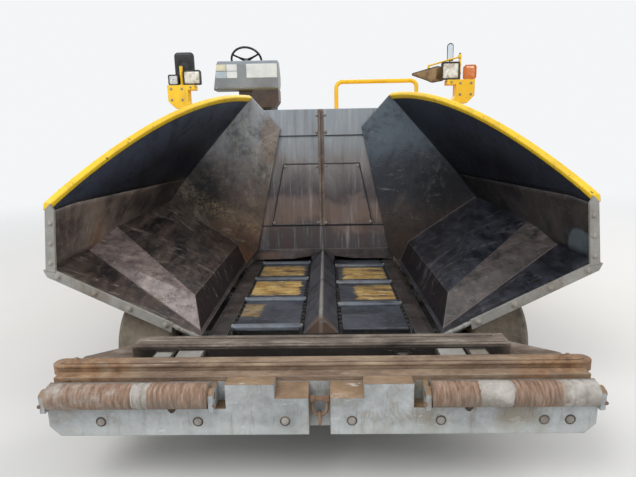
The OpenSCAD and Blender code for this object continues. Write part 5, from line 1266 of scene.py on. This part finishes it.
def console_look():
    """Grey enamel housing over a brown-black body."""
    look = Look("console_coat", rough=0.45)
    look.tone = look.mix(look.mask(0.35, 0.7, 4, 6, 0.65), "848a91", "71777e")
    look.tint("6d6c6a", look.mask(0.5, 0.75, 6, 7, 0.7, (1.5, 1.5, 0.4)), 0.35)
    brown = look.ramp(look.noise(7, 7, 0.7), (0.35, 0.65), "2b2320 4b3d36")
    look.tone = look.mix(look.band(look.axis(2), 2.052, 2.056), brown, look.tone)
    soft, _ = look.edges(0.006, "b9bec2")
    return look.done(look.noise(160, 3), 0.0004, under=soft)


def make_console():
    shape = Shape()
    face = CONSOLE_Y - 0.15
    # Blank label plates on the front
    for x0, x1, z0, z1, paint_no in ((-1.123, -1.018, 2.252, 2.316, 1), (-1.012, -0.9, 2.25, 2.316, 2),
                                     (-1.13, -1.018, 2.177, 2.244, 3), (-1.012, -0.9, 2.177, 2.244, 2),
                                     (-0.799, -0.471, 2.176, 2.318, 2)):
        shape.paint = paint_no
        shape.prism(rounded(x0, x1, z0, z1, 0.004), face - 0.0022, face + 0.001)
    shape.paint = 0
    edge = (CONSOLE_X[0] + 0.05, CONSOLE_X[1] - 0.004)
    shape.tube([(x, CONSOLE_Y - 0.11, CONSOLE_TOP + 0.001) for x in edge], 0.005, 8)
    shape.bolts([(x, face, 2.075) for x in (-1.13, -0.86, -0.48)], (0, -1, 0), 0.012, True)
    # Instrument panel on the slope towards the driver: dials, switches and two levers
    slope = Matrix.Translation((0, CONSOLE_Y + 0.11, CONSOLE_TOP - 0.07)) \
        @ Matrix.Rotation(math.radians(-45), 4, "X")

    def on_slope(paint_no, form, *args, **more):
        shape.paint = paint_no
        shape.move(form(*args, **more), slope)

    on_slope(4, shape.box, (-1.1, -0.078, -0.002), (-0.49, 0.078, 0.004))
    for x in (-1.04, -0.94, -0.6):
        on_slope(4, shape.rod, (x, 0.03, 0.003), (x, 0.03, 0.012), 0.034, 36, 0.032)
        on_slope(2, shape.rod, (x, 0.03, 0.011), (x, 0.03, 0.013), 0.027, 36)
        on_slope(5, shape.box, (x - 0.0012, 0.03, 0.0125), (x + 0.0012, 0.052, 0.0145))
    for k in range(10):
        x = -1.07 + 0.06 * k
        on_slope(4, shape.box, (x - 0.013, -0.06, 0.003), (x + 0.013, -0.028, 0.007))
        on_slope((0, 5, 0, 1)[k % 4], shape.box, (x - 0.008, -0.056, 0.006), (x + 0.008, -0.032, 0.013))
    knob = [(0.06, 0.001), (0.066, 0.012), (0.078, 0.015), (0.09, 0.011), (0.094, 0.001)]
    for x in (-0.53, -0.68):
        on_slope(4, shape.rod, (x, -0.01, 0.002), (x, -0.01, 0.07), 0.006)
        on_slope(4, shape.turned, knob, (x, -0.01, 0), "z", 20, closed=False)
    # Plate under the brown body, with two glands for cables
    shape.box((CONSOLE_X[1] - 0.19, CONSOLE_Y - 0.12, 1.853), (CONSOLE_X[1] - 0.08, CONSOLE_Y + 0.1, 1.871))
    for x in (-0.63, -0.58):
        shape.rod((x, CONSOLE_Y, 1.84), (x, CONSOLE_Y, 1.855), 0.014)
    shape.piece("console_panel", [CONSOLE, CREAM, LABEL, BLUE_LABEL, BLACK, AMBER], "chassis", 0.0012,
                "console_grey")


def make_steering_wheel():
    shape = Shape()
    radius, thick, grips, sides = 0.167, 0.0126, 24, 14
    rings = []
    for a in round_the(96):
        # Finger grips on the back of the rim
        grow = thick - 0.0012 * (1 - math.cos(a * grips)) / 2
        line = [(radius + grow * math.cos(b), grow * math.sin(b)) for b in round_the(sides)]
        rings.append([(math.cos(a) * far, math.sin(a) * far, up) for far, up in line[::-1]])
    shape.skin(rings, looped=True)
    spoke = ((0.0, 0.019, 0.004, -0.014), (0.03, 0.017, 0.002, -0.014), (0.09, 0.011, -0.003, -0.012),
             (0.14, 0.0105, -0.003, -0.0115), (0.164, 0.0118, 0.001, -0.009))
    for a in (90, 210, 330):
        turn = Matrix.Rotation(math.radians(a), 4, "Z")
        shape.skin([[turn @ Vector((along, x, z)) for x, z in rounded(-wide, wide, low, high, 0.004, 3)]
                    for along, wide, high, low in spoke])
    shape.paint = 1
    shape.turned([(-0.026, 0.001), (-0.026, 0.026), (-0.02, 0.0315), (-0.004, 0.0315), (0.004, 0.028),
                  (0.0062, 0.018), (0.0062, 0.001)], (0, 0, 0), "z", 40, closed=False)
    shape.move(range(len(shape.points)), STEER_TURN)
    shape.piece("steering_rim", [BLACK, IRON], "steering_wheel", 0.0006, "console_grey", ["steering_wheel"])


# Wheels: axle in Y and Z, rim, disc's face with its ring of bolts, cap, tyre's side with its raised rings
FRONT_WHEEL = (0.1765, (1.065, 0.1, 8, 0.026), (1.1955, 0.05), (1.2245, 0.2, 0.215, 0.245))
REAR_WHEEL = (0.312, (0.873, 0.16, 10, 0.034), (0.8825, 0.056), (1.0745, 0.43, 0.47, 0.5))
WHEELS = {"front_wheel_1": ((Y_HOP0 + 0.41, 0.275), FRONT_WHEEL),
          "front_wheel_2": ((Y_HOP0 + 1.09, 0.275), FRONT_WHEEL),
          "rear_wheel": ((Y_BAY1 + 0.5, 0.64), REAR_WHEEL)}


def wheel_look(name):
    """Rubber with dry dust outside the rim, worn enamel inside it."""
    axle, (rim, *_) = WHEELS[name]
    look = Look(name + "_coat", rough=0.8, specular=0.3)
    far = look.radius(*axle)
    cover = look.mask(0.25, 0.7, 4, 8, 0.7)
    tyre = look.mix(look.times(cover, 0.85), "302e2c", "9a8d7b")
    look.tone = look.mix(look.mask(0.42, 0.66, 5, 7, 0.7), "d8ac28", "8b7a5e")
    look.tint("54483b", look.mask(0.52, 0.66, 22, 6, 0.75), 0.6)
    look.tint(tyre, look.band(far, rim - 0.001, rim + 0.001))
    return look.done(look.plus(look.noise(60, 6, 0.75), cover), 0.0015)


def make_wheels():
    """Hub caps, wheel bolts and the raised rings on the tyres' sides."""
    for name, (axle, (_, (face, ring, count, size), (cap_at, cap_r), (outer, *radii))) in WHEELS.items():
        for end, flip in SIDES:
            shape = Shape()
            shape.bolt_ring((face, *axle), ring, count, size)
            shape.turned([(0, 0.001), (0, cap_r), (0.006, cap_r), (0.013, cap_r * 0.8), (0.017, cap_r * 0.4),
                          (0.0175, 0.001)], (cap_at, *axle), "x", 36, closed=False)
            shape.bolt_ring((cap_at + 0.006, *axle), 0.9 * cap_r, 6, 0.009, 0)
            shape.paint = 1
            for r in radii:
                rib = [(-0.004, r - 0.005), (0.001, r - 0.003), (0.001, r + 0.003), (-0.004, r + 0.005)]
                shape.turned(rib, (outer - 0.0016 * abs(r - radii[0]) / 0.04, *axle), "x", 96)
            shape.piece("%s_trim_%s" % (name, end), [BOLT, TYRE], "%s_%s" % (name, end), 0.0008,
                        "tyre_rubber", flip=flip)


# Seat
SEAT_AT = Vector((-0.83, Y_BAY1 + 0.99, 1.94))
# Shares of a cushion's height with how far its outline is drawn in there
CUSHION_RISE = ((0.0, 0.016), (0.1, 0.005), (0.28, 0.0), (0.62, 0.0), (0.8, 0.005), (0.92, 0.016),
                (1.0, 0.042), (1.03, 0.1))
MOST_SWELL, PRESSURE, CLOTH_FRAMES, VOXEL = 0.011, 4, 20, 0.006


def puffed(name, outline_of, height, seams):
    """Cushion on the plane Z = 0, blown up as cloth, flat below, with sewn channels across it."""
    form = Shape()
    form.skin([[(x, y, height * up) for x, y in outline_of(inset)] for up, inset in CUSHION_RISE])
    mesh = bpy.data.meshes.new(name + "_form")
    mesh.from_pydata([tuple(p) for p in form.points], [], form.faces)
    made = placed(name + "_form", mesh)
    grid = made.modifiers.new("grid", "REMESH")
    grid.mode, grid.voxel_size = "VOXEL", VOXEL
    fine = bpy.data.meshes.new_from_object(made.evaluated_get(bpy.context.evaluated_depsgraph_get()))
    made.modifiers.clear()
    made.data = fine
    moved = [v.co.copy() for v in fine.vertices]
    cloth = made.modifiers.new("cloth", "CLOTH")
    cloth.settings.use_pressure = True
    cloth.settings.uniform_pressure_force = PRESSURE
    cloth.settings.effector_weights.gravity = 0
    cloth.point_cache.frame_end = CLOTH_FRAMES
    for step in range(1, CLOTH_FRAMES + 1):
        bpy.context.scene.frame_set(step)
    swollen = made.evaluated_get(bpy.context.evaluated_depsgraph_get()).to_mesh()
    for p, v in zip(moved, swollen.vertices):
        shift = v.co - p
        p += shift * min(1.0, MOST_SWELL / max(shift.length, 1e-9))
    bpy.context.scene.frame_set(1)
    faces = [tuple(f.vertices) for f in fine.polygons]
    bpy.data.objects.remove(made)
    for p in moved:
        p.z = max(p.z, 0.0)
        if p.z > height * 0.5:
            for at in seams:
                p.z -= 0.008 * math.exp(-((p.x - at) / 0.007) ** 2)
    return moved, faces


def cushion(name, width, depth, height, place, seams, replaces=()):
    """A padded piece with its welt round the top edge."""
    def outline_of(inset):
        half_w, half_d = width / 2 - inset, depth / 2 - inset
        return [(x * (1 - 0.022 * (1 - (2 * y / depth) ** 4)), y * (1 - 0.022 * (1 - (2 * x / width) ** 4)))
                for x, y in rounded(-half_w, half_w, -half_d, half_d, 0.055, 8)]

    points, faces = puffed(name, outline_of, height, seams)
    tree = BVHTree.FromPolygons(points, faces)
    shape = Shape()
    shape.add(points, faces, True)
    shape.paint = 1
    middle = Vector((0, 0, height * 0.76))
    shape.tube([tree.ray_cast(middle, Vector((math.cos(a), math.sin(a), 0)))[0] for a in round_the(120)],
               0.0036, 8, looped=True)
    shape.move(range(len(shape.points)), place)
    made = shape.piece(name, [SEAT, SEAT_PIPING], "chassis", 0, "seat_black", replaces)
    smooth = made.modifiers.new("smooth", "SUBSURF")
    smooth.levels = smooth.render_levels = 1


def make_seat():
    flat = Matrix.Translation(SEAT_AT + Vector((0, -0.004, 0.0008)))
    cushion("seat_pad", 0.452, 0.42, 0.088, flat, (-0.135, 0.135), ["seat_cushions"])
    lean = math.radians(90 - 11.8)
    up = Matrix.Translation(SEAT_AT + Vector((0, 0.2675, 0.268))) @ Matrix.Rotation(lean, 4, "X")
    cushion("back_pad", 0.436, 0.34, 0.078, up, (-0.12, 0.12))
    shape = Shape()
    x, y, z = SEAT_AT
    # Bellows on the pedestal, slide rails, lap belt anchors and the adjusting lever
    fold = ((0, 0.012), (0.006, 0.02), (0.012, 0.024), (0.018, 0.02), (0.024, 0.012))
    for k in range(5):
        at = z - 0.16 + 0.024 * k
        shape.skin([[(px + x, py + y, at + rise)
                     for px, py in rounded(-0.15 - i, 0.15 + i, -0.14 - i, 0.14 + i, 0.03)]
                    for rise, i in fold])
    shape.paint = 1
    for s in (-1, 1):
        shape.box((x + s * 0.19 - 0.012, y - 0.2, z - 0.062), (x + s * 0.19 + 0.012, y + 0.2, z - 0.04))
        shape.bolt((x + s * 0.231, y + 0.17, z - 0.02), (s, 0, 0), 0.024)
    lever = ((0.225, -0.1, -0.02), (0.25, -0.13, -0.02), (0.25, -0.2, -0.015))
    shape.tube([(x + px, y + py, z + pz) for px, py, pz in lever], 0.006, 10)
    shape.piece("seat_fittings", [BLACK, IRON], "chassis", 0.0015, "seat_black")


# Tread plates, and the trim of boxes, doors, steps and screed
TREAD_GAP = 0.046


def make_treads():
    for name, low, high, body, slot, look, clear in (
            ("deck_tread", (-0.94, Y_BAY1 + 0.64, 1.5), (0.94, 1.98), "chassis", "frame_grey", DARK_BODY,
             (0.2, 0.22)),
            ("walkway_tread", (-1.14, 2.83, 0.525), (1.14, 3.285), "screed", "yellow_paint", YELLOW_WORN,
             (0, 0))):
        shape = Shape()
        cols, rows = (int((high[i] - low[i]) / TREAD_GAP) for i in (0, 1))
        for i in range(cols):
            for j in range(rows):
                at = Vector((low[0] + TREAD_GAP * (i + 0.5), low[1] + TREAD_GAP * (j + 0.5), low[2]))
                # None under the seat's foot
                if abs(at.x - SEAT_AT.x) < clear[0] and abs(at.y - SEAT_AT.y) < clear[1]:
                    continue
                turn = Matrix.Rotation(math.radians(45 if (i + j) % 2 else -45), 4, "Z")
                bar = [(-0.017, 0), (0, -0.004), (0.017, 0), (0, 0.004)]
                shape.move(shape.prism(bar, -0.0005, 0.0022, "z"), Matrix.Translation(at) @ turn)
        shape.piece(name, [look], body, 0, slot)


def make_side_trim():
    shape = Shape()
    for s in (-1, 1):
        x = s * 1.2
        # Lid seam and hinges of the side boxes, and a row of bolts below them
        shape.paint = 1
        shape.tube([(x, Y_BAY1 + 0.065, 1.7), (x, Y_BAY1 + 0.615, 1.7)], 0.0028, 6)
        shape.paint = 0
        for y in (Y_BAY1 + 0.16, Y_BAY1 + 0.52):
            inner, outer = sorted((x, x + s * 0.008))
            shape.box((inner, y - 0.025, 1.672), (outer, y + 0.025, 1.722))
            shape.bolts([(x + s * 0.007, y, 1.71), (x + s * 0.007, y, 1.685)], (s, 0, 0), 0.012)
        shape.bolts([(x, Y_BAY1 + y, 1.41) for y in (0.08, 0.4, 0.72, 1.04)], (s, 0, 0), 0.018)
        # Bolts of the bay's side, low and high
        for k in range(6):
            y = Y_BAY0 + 0.06 + 0.17 * k
            shape.bolt((s * HALF, y, 0.972), (s, 0, 0), 0.016)
            shape.bolt((s * HALF, y, 1.6 - 0.004 * k), (s, 0, 0), 0.014)
        # Tank cap
        shape.turned([(-0.002, 0.001), (-0.002, 0.05), (0.008, 0.05), (0.014, 0.04), (0.014, 0.001)],
                     (s * 1.07, -0.05, 0.86), "x", 28, closed=False)
    # Bolts on the rear body's louvred panel, and grab handles beside the steps
    shape.bolts([(x, 1.951, z) for x in (-0.1, 0.22, 0.52) for z in (0.83, 1.35)], (0, 1, 0), 0.016)
    shape.paint = 1
    grab = ((1.941, 1.1), (1.985, 1.1), (1.992, 1.115), (1.992, 1.39), (1.985, 1.405), (1.941, 1.405))
    for x in (-0.6, -0.14):
        shape.tube([(x, y, z) for y, z in grab], 0.011, 12)
    shape.piece("side_trim", [BOLT, CHASSIS], "chassis", 0.0008, "frame_grey")


def make_splash_flaps():
    """Rubber flaps behind the front wheels, each hung from a bolted strip."""
    y = Y_BULK - 0.008
    flap = ((0, 0.6), (0.006, 0.6), (0.006, 0.42), (0.011, 0.3), (0.02, 0.205), (0.014, 0.203),
            (0.005, 0.3), (0, 0.42))
    for end, flip in SIDES:
        shape = Shape()
        shape.prism([(y + back, z) for back, z in flap], 0.625, 0.95, "x")
        shape.paint = 1
        shape.box((0.635, y - 0.006, 0.565), (0.94, y + 0.001, 0.59))
        shape.bolts([(0.66 + 0.064 * k, y - 0.006, 0.5775) for k in range(5)], (0, -1, 0), 0.018)
        shape.piece("splash_flap_" + end, [TYRE, BOLT], "chassis", 0.001, "tyre_rubber", flip=flip)


def make_door_trim():
    """Handle in the latch, a folded edge and screws."""
    x, y, z = HALF + 0.03, Y_BAY0 + 0.895, 1.28
    sheet_edges = ((0.075, 0.95, 1.01, 1.01), (0.075, 0.95, 1.55, 1.55), (0.075, 0.075, 1.01, 1.55),
                   (0.95, 0.95, 1.01, 1.55))
    for end, flip in SIDES:
        shape = Shape()
        for y0, y1, z0, z1 in sheet_edges:
            shape.tube([(x, Y_BAY0 + y0, z0), (x, Y_BAY0 + y1, z1)], 0.0035, 8)
        shape.paint = 1
        shape.tube([(x + out, y, z + up) for out, up in ((0.009, -0.022), (0.024, -0.018), (0.024, 0.018),
                                                         (0.009, 0.022))], 0.005, 10)
        shape.rod((x + 0.009, y - 0.015, z - 0.012), (x + 0.0135, y - 0.015, z - 0.012), 0.006)
        screws = [(x, Y_BAY0 + at, up) for at in (0.11, 0.4, 0.62, 0.92) for up in (1.03, 1.53)]
        shape.bolts(screws, (1, 0, 0), 0.012, True)
        shape.piece("door_trim_" + end, [YELLOW, BOLT], "engine_door_" + end, 0.0006, "yellow_paint",
                    flip=flip)


def make_screed_trim():
    """Bolts along the screed's edges, burner covers, and handles on covers and end gates."""
    shape = Shape()
    for k in range(17):
        x = -1.12 + 0.14 * k
        shape.bolt((x, 2.43, 0.42), (0, 0, 1), 0.02)
        shape.bolt((x, 2.352, 0.2), (0, -1, 0), 0.02)
    for x in (-0.8, -0.4, 0.42, 0.8):
        shape.paint = 1
        shape.prism(rounded(x - 0.14, x + 0.14, 2.63, 2.71, 0.02), 0.4195, 0.4265, "z")
        shape.paint = 0
        shape.tube([(x + along, 2.67, z) for along, z in ((-0.05, 0.425), (-0.045, 0.452), (0.045, 0.452),
                                                          (0.05, 0.425))], 0.006, 10)
    shape.piece("screed_trim", [BOLT, CHASSIS], "screed", 0.001, "worn_steel")
    for end, flip in SIDES:
        shape = Shape()
        shape.bolts([(0.12 + 0.15 * k, 3.148, 0.18) for k in range(8)], (0, 1, 0), 0.02)
        for y, z in ((2.45, 0.33), (2.7, 0.43), (2.95, 0.45), (3.08, 0.3)):
            shape.bolt((1.242, y, z), (1, 0, 0), 0.026)
        shape.paint = 1
        grip = ((1.24, 2.62), (1.262, 2.63), (1.262, 2.77), (1.24, 2.78))
        shape.tube([(x, y, 0.36) for x, y in grip], 0.008, 10)
        shape.piece("screed_ext_trim_" + end, [BOLT, CHASSIS], "screed_ext_" + end, 0.001, "yellow_paint",
                    flip=flip)


def dress_nodes(looks):
    """Gives each CAD node the material of the longest name that it starts with."""
    for name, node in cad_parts.items():
        look = looks[max((k for k in looks if name.startswith(k)), key=len)]
        node.data.materials.clear()
        node.data.materials.append(look)


make_camera()
make_floor()
make_lights()
DECK = deck_look()
BULKHEAD = bulkhead_look()
NODE_LOOKS = {name: wheel_look(name) for name in WHEELS}
for look, names in ((CHASSIS, "main_frame bogies final_drives auger_case knuckle"),
                    (YELLOW, "engine_bay handrails lamp_posts engine_door"),
                    (YELLOW_WORN, "wing tow_arms screed_walkway screed_ext"),
                    (DARK_BODY, "rear_body operator_deck screed_main"),
                    (BLACK, "seat_base mirrors steering_wheel"), (CHAIN, "conveyors auger"),
                    (CHROME, "wing_rod lift_rod"), (CYLINDER, "wing_barrel lift_barrel"),
                    (ROLLER, "tow_shackle push_roller"), (IRON, "engine_block"), (SEAT, "seat_cushions"),
                    (LENS, "lamps"), (DECK, "front_deck"), (BULKHEAD, "bulkhead"), (beam_look(), "push_beam"),
                    (gate_look(), "flow_gate"), (floor_look(), "hopper_floor"), (console_look(), "console")):
    NODE_LOOKS.update({name: look for name in names.split()})
dress_nodes(NODE_LOOKS)
make_wings()
make_rollers()
make_beam_trim()
make_deck(DECK)
make_bulkhead(BULKHEAD)
for make in (make_conveyors, make_lamps, make_mirrors, make_post_trim, make_console, make_steering_wheel,
             make_wheels, make_seat, make_treads, make_side_trim, make_splash_flaps, make_door_trim,
             make_screed_trim):
    make()
bpy.context.scene.view_settings.view_transform = "Standard"
